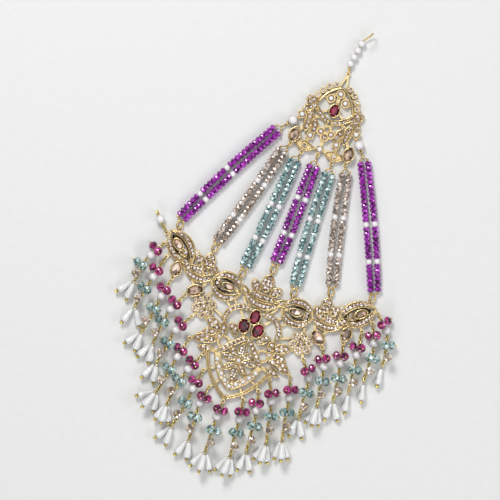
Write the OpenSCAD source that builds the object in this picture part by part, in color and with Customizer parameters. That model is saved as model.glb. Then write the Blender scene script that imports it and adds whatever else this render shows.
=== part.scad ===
/* [Plaques] */
// Thickness of the cast plates
plate_t = 1.4; // [1.3:0.1:1.5]
// Height of the raised rims and stone seats over the back
relief_z = 2.1; // [1.9:0.1:2.3]
// Height of the collars round the large stones over the back
collar_z = 2.9; // [2.7:0.1:3.1]
// Width of a raised rim
rim_w = 0.5; // [0.45:0.05:0.55]
// Radius of the seat of a small stone
seat_r = 0.6; // [0.5:0.05:0.65]
// Distance between small stones along a leaf
seat_pitch = 1.8; // [1.7:0.05:2.2]

/* [Strands] */
// Diameter of the strands' beads
strand_d = 3.0; // [2.6:0.1:3.1]
// Distance between the two strings at the ends of a strand
strand_apart = 3.4; // [3.3:0.1:3.6]

/* [Fringe] */
// Diameter of the round pearls
pearl_d = 4.1; // [3.8:0.1:4.1]
// Diameter of a glass rondelle
glass_d = 4.2; // [4:0.1:4.2]
// Thickness of a glass rondelle
glass_t = 2.9; // [2.6:0.1:2.9]
// Length of a teardrop pearl
tear_l = 7.4; // [7:0.1:7.6]
// Widest diameter of a teardrop pearl
tear_d = 3.8; // [3.5:0.1:3.8]
// Diameter of the chains
chain_d = 1.3; // [1.1:0.1:1.4]

/* [Hook string] */
// Diameter of the pearls on the hook string
hook_pearl_d = 3.3; // [3.1:0.1:3.3]

/* [Hidden] */

// Colours of the metal, stones and beads
gold = "#d9bd74";
ruby = "#8c1238";
smoky = "#b8a68c";
white_pearl = "#f0ece4";
purple = "#a022a8";
aqua = "#8cbcc0";
champagne = "#c4b09a";
magenta = "#b0107c";

edge = 0.1;         // how far a rim stands in from the edge of its plate
sunk = 0.4;         // how deep raised work goes into the plate below it
seat_low = 0.2;     // how much lower a stone's seat is than the rims
far = 3;            // factor that takes a wedge well past its band
arc_sides = 96;
gem_sides = 16;
collar_w = 0.65;    // wall of a stone's collar
clear = 0.15;       // gap between a stone and its collar
wire_r = 0.28;      // radius of thin gold wire
loop_r = 0.85;      // radius of a wire loop, to the middle of its wire
bail_r = 1.0;       // the same of the loops that carry the strands' rings
eye_out = 1.05;     // outer radius of a cast eye
eye_in = 0.55;      // radius of its hole
eye_mid = 0.8;      // radius of the middle of its rim
eye_z = 0.8;        // lowest point of an eye over the back
eye_t = 0.6;        // thickness of an eye
loop_z = 1.2;       // height of the middle of a wire loop

// Leaf-shaped motifs. Columns: x and y of the base, x and y of the tip, bow to the left, width,
// whether small stones sit along it
LOWER_BACK = [
    [9.4, 12.2, 24.6, 12.8, 5.0, 3.6, 1],
    [24.6, 12.8, 9.4, 12.2, 5.0, 3.6, 1],
    [24.6, 15.0, 37.0, 15.6, -0.5, 4.0, 1],
    [27.8, 15.2, 23.6, 19.0, 0.4, 4.2, 1],
    [30.0, 16.2, 34.8, 21.4, 0.3, 4.4, 1],
    [35.2, 15.6, 49.6, 27.4, 4.2, 3.6, 1],
    [49.6, 27.4, 35.2, 15.6, 4.2, 3.6, 1],
    [10.8, -9.4, 12.4, -2.2, 0.1, 4.0, 1],
    [12.6, -7.4, 20.4, -3.8, 0.5, 4.8, 1],
    [12.4, -15.2, 19.8, -17.4, -0.3, 3.0, 1]
];
LOWER_FRONT = [
    [20.4, 16.4, 20.6, 9.0, 1.0, 3.4, 1],
    [28.2, 16.6, 28.3, 24.4, 0.1, 5.4, 1],
    [23.4, 13.4, 38.8, 14.2, -2.6, 3.8, 1],
    [34.0, 12.6, 39.4, 19.0, -0.6, 3.8, 1],
    [37.8, 21.4, 42.6, 15.8, 0.6, 3.6, 1],
    [4.8, -7.2, 9.8, -2.0, 0.4, 4.2, 1],
    [13.2, -8.6, 20.2, -10.2, 0.3, 3.8, 1],
    [12.0, -12.2, 23.6, -14.8, 1.0, 5.0, 1]
];
// The same on the middle line, left and right of it
LOWER_MIDDLE = [
    [-7.4, 14.2, 7.4, 14.2, -0.5, 3.6, 1],
    [2.8, 14.6, 7.2, 20.0, 0.5, 4.4, 1],
    [-2.8, 14.6, -7.2, 20.0, -0.5, 4.4, 1],
    [0, 15.8, 0, 24.8, 0.1, 6.0, 1],
    [-10.2, 15.2, 10.2, 15.2, -5.4, 3.8, 1],
    [5.2, 11.8, 10.2, 16.2, -0.6, 3.4, 1],
    [-5.2, 11.8, -10.2, 16.2, 0.6, 3.4, 1],
    [0.8, -15.8, 5.6, -12.2, 0.2, 3.4, 1],
    [-0.8, -15.8, -5.6, -12.2, -0.2, 3.4, 1],
    [1.0, -17.0, 8.8, -16.4, 0.2, 3.4, 1],
    [-1.0, -17.0, -8.8, -16.4, -0.2, 3.4, 1],
    [0.8, -18.0, 6.2, -23.0, -0.3, 3.2, 1],
    [-0.8, -18.0, -6.2, -23.0, 0.3, 3.2, 1],
    [0, -18.4, 0, -28.0, 0.1, 3.8, 1],
    [0, -15.6, 0, -8.0, 0.1, 4.0, 1]
];
// Bands of one width. Columns: x and y of both ends, bow to the left, width, whether small stones
// sit along it
LOWER_BANDS = [
    [3.6, 6.6, 12.7, -2.0, 3.3, 2.6, 1],
    [12.9, 12.4, 22.8, 12.8, 2.7, 0.7, 0],
    [22.8, 12.8, 12.9, 12.4, 2.7, 0.7, 0],
    [37.6, 17.4, 47.4, 25.4, 2.6, 0.7, 0],
    [47.4, 25.4, 37.6, 17.4, 2.6, 0.7, 0],
    [0.3, -6.2, 9.6, -15.8, 0.5, 2.6, 1],
    [9.9, -16.4, 0.4, -29.2, 1.7, 3.3, 0]
];
SHIELD_FRAME = [15.0, -16.6, 0.2, -34.7, 2.5, 1.7, 0];
// Round lobes: x, y, radius
LOWER_LOBES = [[12.0, -9.6, 2.2], [9.4, -11.2, 3.0], [34.9, 21.8, 1.3]];
BIRD_HOLE = [9.4, -11.2, 1.9];
FLORET = [23.4, 0.6];
floret_r = 3.7;
floret_lobe_r = 2.05;
// Holes through the right half: x, y, length, width, angle
LOWER_HOLES = [
    [15.2, -7.5, 2.6, 1.3, 30], [8.0, -4.6, 1.6, 1.2, 45], [16.4, -13.7, 2.8, 1.2, -12],
    [28.3, 19.8, 2.0, 1.2, 90], [28.2, 15.4, 1.7, 1.3, 0], [32.2, 18.2, 1.8, 1.3, 45],
    [36.3, 19.5, 2.2, 1.2, 50], [41.0, 19.2, 2.6, 1.1, -40], [3.4, 14.9, 1.9, 1.2, 60],
    [5.4, -19.2, 2.0, 1.1, 15], [4.2, -22.6, 1.9, 1.2, 65], [2.6, -12.9, 2.2, 1.1, -60]
];
// Straight bars: x and y of both ends, width
LOWER_BARS = [
    [9.3, 5.8, 11.6, 8.4, 0.9], [11.2, 3.3, 14.8, 6.8, 0.9], [12.0, -1.8, 18.4, 1.0, 0.9],
    [7.2, 4.8, 4.6, 1.2, 0.9], [8.4, 13.0, 11.6, 11.4, 1.0], [8.2, 11.2, 5.2, 7.0, 0.9],
    [4.9, 9.6, 3.0, 6.2, 1.0], [12.5, -1.4, 11.9, -4.6, 1.0], [19.0, -5.6, 21.4, -3.2, 1.2],
    [22.6, 7.4, 23.2, 3.4, 1.2], [26.2, 10.6, 27.6, 7.6, 1.2], [33.4, 10.8, 31.2, 8.0, 1.2],
    [38.2, 14.6, 39.8, 13.4, 1.6], [42.4, 16.8, 41.4, 14.4, 1.7], [25.0, 12.6, 22.2, 11.8, 1.7],
    [26.6, 1.6, 28.4, 4.4, 1.2], [15.0, -17.0, 8.2, -15.6, 1.6], [9.0, -23.6, 11.9, -24.9, 1.0],
    [5.2, -28.2, 7.0, -31.0, 1.0], [36.8, 17.0, 35.4, 14.8, 2.2], [11.2, 12.3, 14.2, 12.4, 1.4],
    [2.6, -3.6, 1.4, -7.2, 1.5], [5.2, -3.0, 6.6, -5.0, 1.5], [5.6, -22.2, 7.4, -22.6, 1.3],
    [4.8, -12.8, 6.8, -13.0, 1.3], [12.9, 15.4, 12.6, 17.8, 1.2], [45.4, 26.0, 46.0, 27.2, 1.4],
    [32.2, 4.2, 32.7, 3.0, 1.2], [41.0, 9.0, 41.1, 8.2, 1.2], [25.8, -4.0, 26.3, -5.0, 1.4]
];

// Large stones: x, y, width, length, turn of the long axis, whether it is a pear with its point up
RUBIES = [
    [0, 4.1, 4.4, 6.2, 0, false],
    [-3.3, -1.3, 4.7, 6.0, 12, false],
    [3.3, -1.3, 4.7, 6.0, -12, false]
];
SIDE_STONES = [
    [41.0, 11.8, 4.2, 6.2, 0, true],
    [29.6, 5.7, 4.3, 6.6, 58, false],
    [16.2, 12.6, 2.6, 5.2, -88, false],
    [44.0, 22.4, 3.0, 5.2, -50, false]
];
CROWN_RUBY = [0, 103.5, 3.9, 5.5, 0, false];
TOP_PEAR = [13.0, 87.4, 4.2, 6.3, 0, true];
ruby_table_z = 3.5;
side_table_z = 3.2;

// The top plaque, with the same columns
TOP_BACK = [
    [7.6, 101.0, 13.6, 106.2, 0.2, 5.0, 1],
    [9.0, 102.6, 13.6, 98.6, 0.3, 3.6, 1],
    [9.3, 89.8, 9.5, 101.2, 0.1, 4.2, 1],
    [5.0, 90.2, 7.0, 98.0, 0.1, 3.8, 1],
    [2.2, 84.4, 12.0, 84.9, -0.5, 4.8, 0]
];
TOP_BANDS = [[9.4, 103.9, 0.3, 97.8, 0.9, 2.6, 1], [0.2, 114.4, 8.1, 105.2, 1.3, 1.0, 0]];
TOP_LOBES = [
    [3.2, 115.0, 1.35], [6.0, 113.1, 1.45], [8.1, 110.5, 1.45], [9.4, 107.8, 1.45],
    [3.4, 108.3, 2.1], [2.4, 92.8, 2.0], [7.1, 84.6, 1.2]
];
TOP_MIDDLE_LOBES = [[0, 111.5, 2.1], [0, 90.8, 2.1], [0, 94.5, 2.1]];
CLAW_PAD = [0, 85.0, 1.7];
TOP_HOLES = [[6.7, 99.6, 2.2, 1.2, -45], [4.2, 97.2, 2.2, 1.2, 35]];
TOP_BARS = [
    [1.8, 103.5, 5.4, 100.9, 0.9], [5.2, 108.6, 7.6, 107.4, 1.0], [7.6, 106.6, 9.6, 104.4, 1.6],
    [3.0, 110.0, 1.2, 111.2, 1.6], [7.4, 98.2, 4.4, 98.8, 1.2], [3.6, 94.4, 5.8, 94.6, 1.2],
    [6.2, 91.6, 6.3, 88.0, 1.7], [10.2, 92.4, 11.8, 90.0, 1.4], [7.0, 86.2, 6.5, 88.6, 1.6],
    [1.0, 85.1, 3.6, 84.7, 1.1], [9.0, 92.4, 6.4, 91.6, 1.4], [12.4, 97.0, 10.2, 96.8, 1.8],
    [13.6, 95.6, 15.2, 93.6, 1.3], [10.6, 85.2, 11.8, 86.4, 1.4], [1.3, 97.4, 0.8, 95.4, 1.4],
    [1.7, 114.6, 0.25, 120.2, 0.8], [10.2, 100.6, 12.6, 98.2, 2.0], [4.6, 110.5, 8.1, 110.5, 1.0],
    [3.2, 112.2, 6.0, 113.1, 1.0], [1.4, 113.4, 3.2, 115.0, 1.0]
];
TOP_MIDDLE_BARS = [[0, 110, 0, 106, 1.6], [0, 89.4, 0, 86, 1.4]];
// Four-sided cups: x, y, radius, turn
TOP_CUPS = [[13.0, 97.0, 2.5, 12], [6.3, 89.4, 2.3, 45]];
SIDE_PEARL = [15.9, 93.0];
side_pearl_d = 4.3;
side_seat_r = 1.7;
CLAW_PEARL = [0, 85.0];
claw_pearl_d = 2.6;
BAIL_EYE = [0, 121.2];

// Eyes of the top plaque that carry the strands: x, y, x and y of the stem's foot
TOP_EYES = [[17.3, 91.2, 16.4, 92.2], [13.3, 82.7, 13.2, 84.0], [7.2, 81.0, 7.2, 83.0], [0, 82.4, 0, 83.8]];

// Strands, from left to right: x and y of the top plaque's eye, of the upper end and of the lower
// end, bow to the left, x and y of the loop on the lower plaque
STRANDS = [
    [-17.3, 91.2, -21.0, 86.6, -47.0, 33.9, -0.8, -46.3, 29.0],
    [-13.3, 82.7, -15.3, 79.0, -27.9, 30.0, 0.6, -28.2, 25.0],
    [-7.2, 81.0, -8.6, 76.6, -12.4, 23.8, 0.5, -12.5, 18.7],
    [0, 82.4, 0.2, 77.4, 0, 30.4, 0.2, 0, 25.4],
    [7.2, 81.0, 7.8, 76.6, 11.8, 23.8, -0.5, 12.5, 18.7],
    [13.3, 82.7, 14.9, 79.0, 27.2, 30.0, -0.6, 28.2, 25.0],
    [17.3, 91.2, 20.7, 87.0, 46.0, 33.9, 0.6, 46.3, 29.0]
];
strand_z = 1.65;
strand_swell = 0.25;    // how much further out each string runs at its middle
strand_steps = 8;
link_fork = 2.2;        // distance of a link's fork from the strand
crimp_l = 1.0;
crimp_r = 0.45;
prong_r = 0.22;         // radius of the wires from a fork to its crimps
fork_r = 0.42;
fork_start = 0.3;       // distance of their start from the middle of the fork
ring_half = 1.65;       // half the width of an oval ring
ring_wall = 0.8;
ring_straight = 1.2;    // length of its straight sides
ring_z = 0.95;
ring_t = 0.7;

// Hook string: x and y of its first and last pearl, and of the bend of the hook
HOOK_FIRST = [-0.9, 125.9];
HOOK_LAST = [0.7, 136.1];
HOOK_BEND = [2.9, 140.2];
hook_pearls_n = 4;
hook_z = 1.85;
hook_turn_r = 2.2;
hook_tip_l = 3.0;
hook_bead_r = 0.7;

// Eyes for the fringe on the right half, from outside to the middle: x, y, x and y of the stem's foot
EYES = [
    [51.0, 25.4, 49.2, 25.3], [50.4, 20.4, 48.8, 21.1], [47.2, 15.2, 45.4, 17.4], [41.2, 7.2, 41.1, 8.6],
    [33.2, 2.1, 31.8, 3.5], [26.9, -5.9, 24.8, -2.2], [24.2, -15.2, 22.8, -14.6],
    [16.0, -19.6, 15.6, -17.2], [13.3, -26.4, 11.4, -25.0], [8.2, -32.6, 6.8, -31.0]
];
MIDDLE_EYE = [0, -36.5, 0, -35.0];
// Fringe drops, from left round to right: x and y of the eye, of the pearl, of the first cluster of
// beads, of the second and of the end ring, then each teardrop's angle from straight down, and the side
// of the lower magenta bead (1 is the outer side)
DROPS = [
    [-51.0, 25.4, -55.6, 30.0, -58.2, 32.6, -58.2, 32.6, -58.2, 32.6, [], 1],
    [-50.4, 20.4, -53.9, 13.4, -56.2, 8.0, -56.0, 3.6, -56.4, 0.6, [-38, -4], 1],
    [-47.2, 15.2, -49.4, 4.6, -50.6, -1.6, -51.4, -6.8, -52.3, -10.2, [-18, 32], 1],
    [-41.2, 7.2, -42.9, -2.3, -43.4, -8.6, -44.3, -15.0, -45.2, -19.6, [-34, 0], 1],
    [-33.2, 2.1, -36.9, -6.3, -37.8, -12.5, -38.4, -18.3, -38.8, -22.6, [-26, 8], 1],
    [-26.9, -5.9, -31.3, -14.1, -32.0, -20.6, -33.0, -26.0, -34.0, -30.4, [-24, 10], 1],
    [-24.2, -15.2, -26.4, -25.1, -27.2, -31.4, -28.2, -37.2, -29.2, -42.2, [-54, -22, 8], 1],
    [-16.0, -19.6, -19.9, -28.6, -21.2, -34.6, -22.4, -40.4, -23.2, -45.4, [-14, 4, 22], 1],
    [-13.3, -26.4, -14.6, -36.1, -15.0, -42.8, -16.0, -49.0, -17.4, -54.2, [-32, 2], 1],
    [-8.2, -32.6, -9.4, -41.1, -8.8, -47.4, -8.4, -52.8, -8.2, -57.2, [-20, 14], -1],
    [0, -36.5, -0.2, -43.9, 0.2, -49.9, 0.3, -55.4, 0.6, -59.6, [-23, 4, 32], 1],
    [8.2, -32.6, 9.8, -41.4, 10.1, -47.4, 11.0, -53.2, 11.8, -57.4, [-24, -2, 20], 1],
    [13.3, -26.4, 15.6, -35.1, 16.6, -41.7, 17.2, -48.0, 17.8, -53.2, [-4, 30], -1],
    [16.0, -19.6, 20.2, -28.8, 22.0, -35.0, 23.2, -41.0, 24.8, -46.2, [-16, 3, 22], 1],
    [24.2, -15.2, 27.2, -24.3, 28.2, -30.8, 29.6, -36.8, 30.8, -42.4, [0, 18, 36], 1],
    [26.9, -5.9, 32.1, -13.0, 33.0, -19.4, 33.8, -25.5, 34.4, -30.6, [-6, 28], 1],
    [33.2, 2.1, 36.8, -5.7, 37.8, -12.0, 39.0, -17.8, 40.1, -22.3, [-12, 6, 24], -1],
    [41.2, 7.2, 43.4, -1.8, 44.3, -8.2, 45.6, -13.8, 46.0, -17.8, [-2, 32], -1],
    [47.2, 15.2, 48.8, 4.4, 49.6, -2.0, 50.6, -7.4, 51.2, -12.0, [10], -1],
    [50.4, 20.4, 54.2, 12.2, 55.2, 5.8, 55.6, 0.2, 55.8, -5.0, [14], -1],
    [51.0, 25.4, 57.2, 19.4, 59.6, 13.6, 60.9, 8.4, 61.2, 4.6, [6], 1]
];
LEFT_DROPS = [0 : 6];
CENTRE_DROPS = [7 : 13];
RIGHT_DROPS = [14 : 20];
drop_z = 2.15;          // height of the chain over the surface
upper_out = 4.1;        // distance of an upper bead from the chain
upper_tilt = 74;        // how steeply its pin stands
lower_tilt = 16;        // the same for a bead beside the chain
bead_out = 2.6;         // distance of a bead beside the chain
magenta_back = 1.4;     // how far above the pearl's wire the first cluster hangs
pin_r = 0.25;
pin_start = 0.45;       // distance of a pin's start from the middle of what it is soldered to
joint_over = 0.06;      // how much thicker a ball joint is than its wires
thread_r = 0.3;         // radius of the wire inside a pearl
thread_l = 2.3;         // half its length
bore_r = 0.42;          // radius of the hole in a bead
ball_r = 0.42;
ball_gap = 0.12;
bend_r = 0.38;          // radius of the ball where a teardrop's pin bends
end_flat = 0.9;         // share of that radius in the flats of the ball at a chain's end
end_ball_r = 0.75;      // radius of the ball at a chain's end and under a teardrop
tear_reach = 1.6;       // distance from the end ring to where a teardrop's pin bends
tear_gap = 0.35;        // distance from there to the teardrop
// Heights of a teardrop's top and of its widest part, for one or two and for three on a ring, where
// the middle one lies on the others
TEAR_TWO = [[1.1, 1.95], [3.3, 1.95]];
TEAR_THREE = [[1.1, 1.95], [5.4, 5.2], [3.3, 1.95]];
widest_at = 0.8;        // where along its length a teardrop is widest

// Geometry in the plane

function unit(v) = v / norm(v);
function left_of(v) = [-v[1], v[0]];
function aim(angle) = [cos(angle), sin(angle)];
function at_z(v, z) = [v[0], v[1], z];
function base(m) = [m[0], m[1]];
function tip(m) = [m[2], m[3]];

// Signed radius and middle of the arc from a to b that bows out by s to the left
function arc_radius(a, b, s) = (norm(b - a) * norm(b - a) / 4 + s * s) / (2 * s);
function arc_middle(a, b, s) = (a + b) / 2 + left_of(unit(b - a)) * (s - arc_radius(a, b, s));
function arc_at(a, b, s, t) =
    let (r = arc_radius(a, b, s), turn = asin(norm(b - a) / 2 / abs(r)) * (1 - 2 * t), u = unit(b - a))
    arc_middle(a, b, s) + left_of(u) * r * cos(turn) - u * abs(r) * sin(turn);

module disc(a, b, s) {
    translate(arc_middle(a, b, s)) circle(r = abs(arc_radius(a, b, s)), $fn = arc_sides);
}

// Space between two arcs from a to b, s1 being further to the left than s2
module blade(a, b, s1, s2) {
    if (s1 * s2 < 0) intersection() {
        disc(a, b, s1);
        disc(a, b, s2);
    }
    else difference() {
        disc(a, b, abs(s1) > abs(s2) ? s1 : s2);
        disc(a, b, abs(s1) > abs(s2) ? s2 : s1);
    }
}

// A leaf motif made smaller by inset all round
module leaf(m, inset = 0) {
    u = unit(tip(m) - base(m));
    back = inset / sin(2 * atan(m[5] / norm(tip(m) - base(m))));
    blade(base(m) + u * back, tip(m) - u * back, m[4] + m[5] / 2 + 0.01 - inset, m[4] - m[5] / 2 + inset);
}

// The part of a band between two distances from its middle line
module band(m, inner, outer) {
    a = base(m);
    b = tip(m);
    r = abs(arc_radius(a, b, m[4]));
    c = arc_middle(a, b, m[4]);
    intersection() {
        translate(c) difference() {
            circle(r = r + outer, $fn = arc_sides);
            circle(r = r + inner, $fn = arc_sides);
        }
        polygon([c, c + far * (a - c), c + far * (b - c)]);
    }
}

module whole_band(m) {
    band(m, -m[5] / 2, m[5] / 2);
}

module lobe(m, inset = 0) {
    translate(base(m)) circle(r = m[2] - inset, $fn = 32);
}

module hole(h) {
    along = aim(h[4]) * h[2] / 2;
    blade(base(h) - along, base(h) + along, h[3] / 2, -h[3] / 2);
}

module bar(b) {
    along = tip(b) - base(b);
    translate(base(b)) rotate(atan2(along[1], along[0])) translate([0, -b[4] / 2]) square([norm(along), b[4]]);
}

module both_sides() {
    children();
    mirror([1, 0, 0]) children();
}

module leaf_rim(m) {
    difference() {
        leaf(m, edge);
        leaf(m, edge + rim_w);
    }
}

module band_rims(m) {
    half = m[5] / 2 - edge;
    if (m[6] > 0) {
        band(m, half - rim_w, half);
        band(m, -half, rim_w - half);
    }
    else band(m, -half, half);
}

module lobe_rim(m) {
    difference() {
        lobe(m, edge);
        lobe(m, edge + rim_w);
    }
}

// Seats of the small stones along a leaf or a band, on its middle line
module seats(m, taper) {
    a = base(m);
    b = tip(m);
    n = floor(norm(b - a) * (1 + pow(2 * m[4] / norm(b - a), 2) * 2 / 3) / seat_pitch);
    for (i = [0 : n - 1]) {
        t = (i + 0.5) / n;
        room = m[5] / 2 * (taper ? sin(180 * t) : 1) - edge - rim_w;
        if (room > 0.35 && m[6] > 0) translate(arc_at(a, b, m[4], t)) circle(r = min(seat_r, room - 0.03), $fn = 16);
    }
}

// Outline of a large stone, with its point up if it is a pear
function stone_outline(s, grow, n) = [
    for (i = [0 : n - 1])
        let (
            a = 360 * i / n,
            narrow = s[5] ? 1 - 0.42 * pow(max(0, sin(a)), 1.5) : 1,
            x = (s[2] / 2 + grow) * cos(a) * narrow,
            y = (s[3] / 2 + grow) * sin(a)
        )
        [s[0] + x * cos(s[4]) - y * sin(s[4]), s[1] + x * sin(s[4]) + y * cos(s[4])]
];

module stone_shape(s, grow) {
    polygon(stone_outline(s, grow, 24));
}

module collar(s) {
    difference() {
        stone_shape(s, collar_w);
        stone_shape(s, clear);
    }
}

// A stone cut with a table, a crown, a girdle and a pavilion
module cut_stone(s, table_z) {
    foot_z = plate_t + 0.1;
    girdle_z = foot_z + (table_z - foot_z) * 0.45;
    // Height of each ring of corners, and how far it stands in from the outline
    rings = [
        [foot_z, -0.27 * s[2]], [girdle_z, 0], [girdle_z + 0.2, 0],
        [table_z - 0.35, -0.1 * s[2]], [table_z, -0.21 * s[2]]
    ];
    last = len(rings) - 1;
    points = [for (r = rings) for (p = stone_outline(s, r[1], gem_sides)) at_z(p, r[0])];
    sides = [
        for (r = [0 : last - 1]) for (i = [0 : gem_sides - 1])
            let (j = (i + 1) % gem_sides, b = r * gem_sides)
            [b + i, b + gem_sides + i, b + gem_sides + j, b + j]
    ];
    foot = [for (i = [0 : gem_sides - 1]) i];
    table = [for (i = [gem_sides - 1 : -1 : 0]) last * gem_sides + i];
    polyhedron(points = points, faces = concat(sides, [foot, table]), convexity = 2);
}

// Wire, beads and tubes

module along(a, b) {
    v = b - a;
    translate(a) rotate([0, acos(v[2] / norm(v)), atan2(v[1], v[0])]) children();
}

module rod(a, b, r) {
    along(a, b) cylinder(r = r, h = norm(b - a), $fn = 24);
}

module ball(p, r) {
    translate(p) sphere(r = r, $fn = 48);
}

// A turned ball on a wire that runs along v; flat is the share of its radius in the flats at its ends
module wire_tip(p, v, r, flat = 0.7) {
    along(p, p + v) rotate_extrude($fn = 48) polygon([
        [0, -0.8 * r], [flat * r, -0.8 * r], [r, -0.3 * r],
        [r, 0.3 * r], [flat * r, 0.8 * r], [0, 0.8 * r]
    ]);
}

// A ring of wire that stands upright along the direction v
module upright_loop(middle, v, r) {
    translate(middle) rotate([90, 0, atan2(v[1], v[0])]) rotate_extrude($fn = 48) translate([r, 0]) circle(r = wire_r, $fn = 24);
}

// A tube through points in space, with a radius at each of them
module tube(points, radii, sides = 8) {
    last = len(points) - 1;
    rings = [
        for (k = [0 : last])
            let (
                u = unit(points[min(k + 1, last)] - points[max(k - 1, 0)]),
                side = unit(cross(u, [0, 0, 1])),
                up = cross(side, u)
            )
            for (i = [0 : sides - 1]) points[k] + radii[k] * (side * cos(360 * i / sides) + up * sin(360 * i / sides))
    ];
    walls = [
        for (k = [0 : last - 1]) for (i = [0 : sides - 1])
            let (j = (i + 1) % sides)
            [k * sides + i, k * sides + j, (k + 1) * sides + j, (k + 1) * sides + i]
    ];
    first_end = [for (i = [sides - 1 : -1 : 0]) i];
    last_end = [for (i = [0 : sides - 1]) last * sides + i];
    polyhedron(points = rings, faces = concat(walls, [first_end, last_end]), convexity = 4);
}

module drilled_pearl(middle, v, d) {
    along(middle, middle + v) difference() {
        sphere(r = d / 2, $fn = 64);
        translate([0, 0, -d]) cylinder(r = bore_r, h = 2 * d, $fn = 24);
    }
}

module rondelle(middle, v) {
    r = glass_d / 2;
    h = glass_t / 2;
    along(middle, middle + v) rotate_extrude($fn = 48)
        polygon([[bore_r, -h], [0.55 * r, -h], [r, -0.25], [r, 0.25], [0.55 * r, h], [bore_r, h]]);
}

// A teardrop pearl from its narrow top at a along the direction v
module teardrop(a, v) {
    r = tear_d / 2;
    along(a, a + v) rotate_extrude($fn = 48) polygon([
        [bore_r, 0], [0.42 * r, 0], [0.53 * r, 0.04 * tear_l], [0.72 * r, 0.33 * tear_l],
        [0.92 * r, 0.62 * tear_l], [r, 0.8 * tear_l], [0.88 * r, 0.92 * tear_l], [0.56 * r, tear_l],
        [bore_r, tear_l]
    ]);
}

// Plaques

module cast(z0, z1) {
    translate([0, 0, z0]) linear_extrude(z1 - z0) children();
}

// Flat eyes of a plaque with their stems
module eyes(table) {
    cast(eye_z, eye_z + eye_t) for (e = table) difference() {
        union() {
            translate(base(e)) circle(r = eye_out, $fn = 32);
            bar([e[0], e[1], e[2], e[3], 0.9]);
        }
        translate(base(e)) circle(r = eye_in, $fn = 32);
    }
}

module floret_lobes(inset) {
    for (i = [0 : 5]) lobe(concat(FLORET + floret_r * aim(30 + 60 * i), [floret_lobe_r]), inset);
}

module lower_plate() {
    difference() {
        union() {
            both_sides() {
                for (m = concat(LOWER_BACK, LOWER_FRONT)) leaf(m);
                for (m = LOWER_BANDS) whole_band(m);
                whole_band(SHIELD_FRAME);
                for (m = LOWER_LOBES) lobe(m);
                for (b = LOWER_BARS) bar(b);
                floret_lobes(0);
                translate(FLORET) circle(r = 3.0, $fn = 32);
                for (s = SIDE_STONES) stone_shape(s, collar_w);
            }
            for (m = LOWER_MIDDLE) leaf(m);
            for (s = RUBIES) stone_shape(s, collar_w);
            translate([0, -16.8]) circle(r = 2.2, $fn = 32);
            translate([0, -34.4]) circle(r = 1.2, $fn = 32);
            translate([0, -7]) circle(r = 1.6, $fn = 32);
            translate([0, -29.2]) circle(r = 1.7, $fn = 32);
        }
        lower_holes();
    }
}

module lower_holes() {
    both_sides() {
        for (h = LOWER_HOLES) hole(h);
        for (i = [0 : 2]) translate(FLORET + 1.8 * aim(120 * i)) circle(r = 0.6, $fn = 24);
        lobe(BIRD_HOLE);
    }
}

module lower_rims() {
    difference() {
        both_sides() {
            for (m = LOWER_BACK) leaf_rim(m);
            floret_rims();
        }
        both_sides() {
            for (m = LOWER_FRONT) leaf(m);
            lobe(LOWER_LOBES[1]);
        }
        lower_tops();
    }
    difference() {
        both_sides() {
            for (m = LOWER_FRONT) leaf_rim(m);
            for (m = LOWER_BANDS) band_rims(m);
            lobe_rim(LOWER_LOBES[1]);
            lobe_rim(LOWER_LOBES[2]);
        }
        lower_tops();
    }
    difference() {
        for (m = LOWER_MIDDLE) leaf_rim(m);
        for (s = RUBIES) stone_shape(s, collar_w);
        lower_holes();
    }
}

module floret_rims() {
    difference() {
        floret_lobes(edge);
        floret_lobes(edge + rim_w);
    }
}

// What covers the rims of the leaves behind it
module lower_tops() {
    both_sides() for (s = SIDE_STONES) stone_shape(s, collar_w);
    for (s = RUBIES) stone_shape(s, collar_w);
    lower_holes();
}

module lower_seats() {
    both_sides() {
        for (m = concat(LOWER_BACK, LOWER_FRONT)) seats(m, true);
        for (m = LOWER_BANDS) seats(m, false);
        for (i = [0 : 5]) translate(FLORET + floret_r * aim(30 + 60 * i)) circle(r = seat_r, $fn = 16);
    }
    for (m = LOWER_MIDDLE) seats(m, true);
}

// Wire loops on the peaks of the lower plaque, which carry the strands' rings
module bails() {
    for (s = STRANDS) {
        p = [s[7], s[8]];
        upright_loop(at_z(p, ring_z + ring_t / 2), [s[4], s[5]] - p, bail_r);
    }
}

module lower_plaque() {
    color(gold) {
        cast(0, plate_t) lower_plate();
        cast(plate_t - sunk, relief_z) lower_rims();
        cast(plate_t - sunk, relief_z - seat_low) lower_seats();
        cast(plate_t - sunk, collar_z) {
            both_sides() for (s = SIDE_STONES) collar(s);
            for (s = RUBIES) collar(s);
        }
        both_sides() eyes(EYES);
        eyes([MIDDLE_EYE]);
        bails();
    }
}

module cup(c, inset) {
    translate(base(c)) rotate(c[3] - 45) square(2 * (c[2] - inset) * cos(45), center = true);
}

module top_plate() {
    difference() {
        union() {
            both_sides() {
                for (m = TOP_BACK) leaf(m);
                for (m = TOP_BANDS) whole_band(m);
                for (m = TOP_LOBES) lobe(m);
                for (b = TOP_BARS) bar(b);
                for (c = TOP_CUPS) cup(c, 0);
                stone_shape(TOP_PEAR, collar_w);
                translate(SIDE_PEARL) circle(r = side_seat_r, $fn = 32);
            }
            for (m = TOP_MIDDLE_LOBES) lobe(m);
            lobe(CLAW_PAD);
            for (b = TOP_MIDDLE_BARS) bar(b);
            stone_shape(CROWN_RUBY, collar_w);
        }
        top_holes();
    }
}

module top_holes() {
    both_sides() for (h = TOP_HOLES) hole(h);
    lobe([0, 94.5, 0.9]);
}

module top_rims() {
    difference() {
        both_sides() {
            for (m = TOP_BACK) leaf_rim(m);
            for (m = TOP_BANDS) band_rims(m);
        }
        top_covers(0);
        top_holes();
    }
    difference() {
        top_covers(edge);
        top_covers(edge + rim_w);
        both_sides() stone_shape(TOP_PEAR, collar_w);
        stone_shape(CROWN_RUBY, collar_w);
        top_holes();
    }
}

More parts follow.
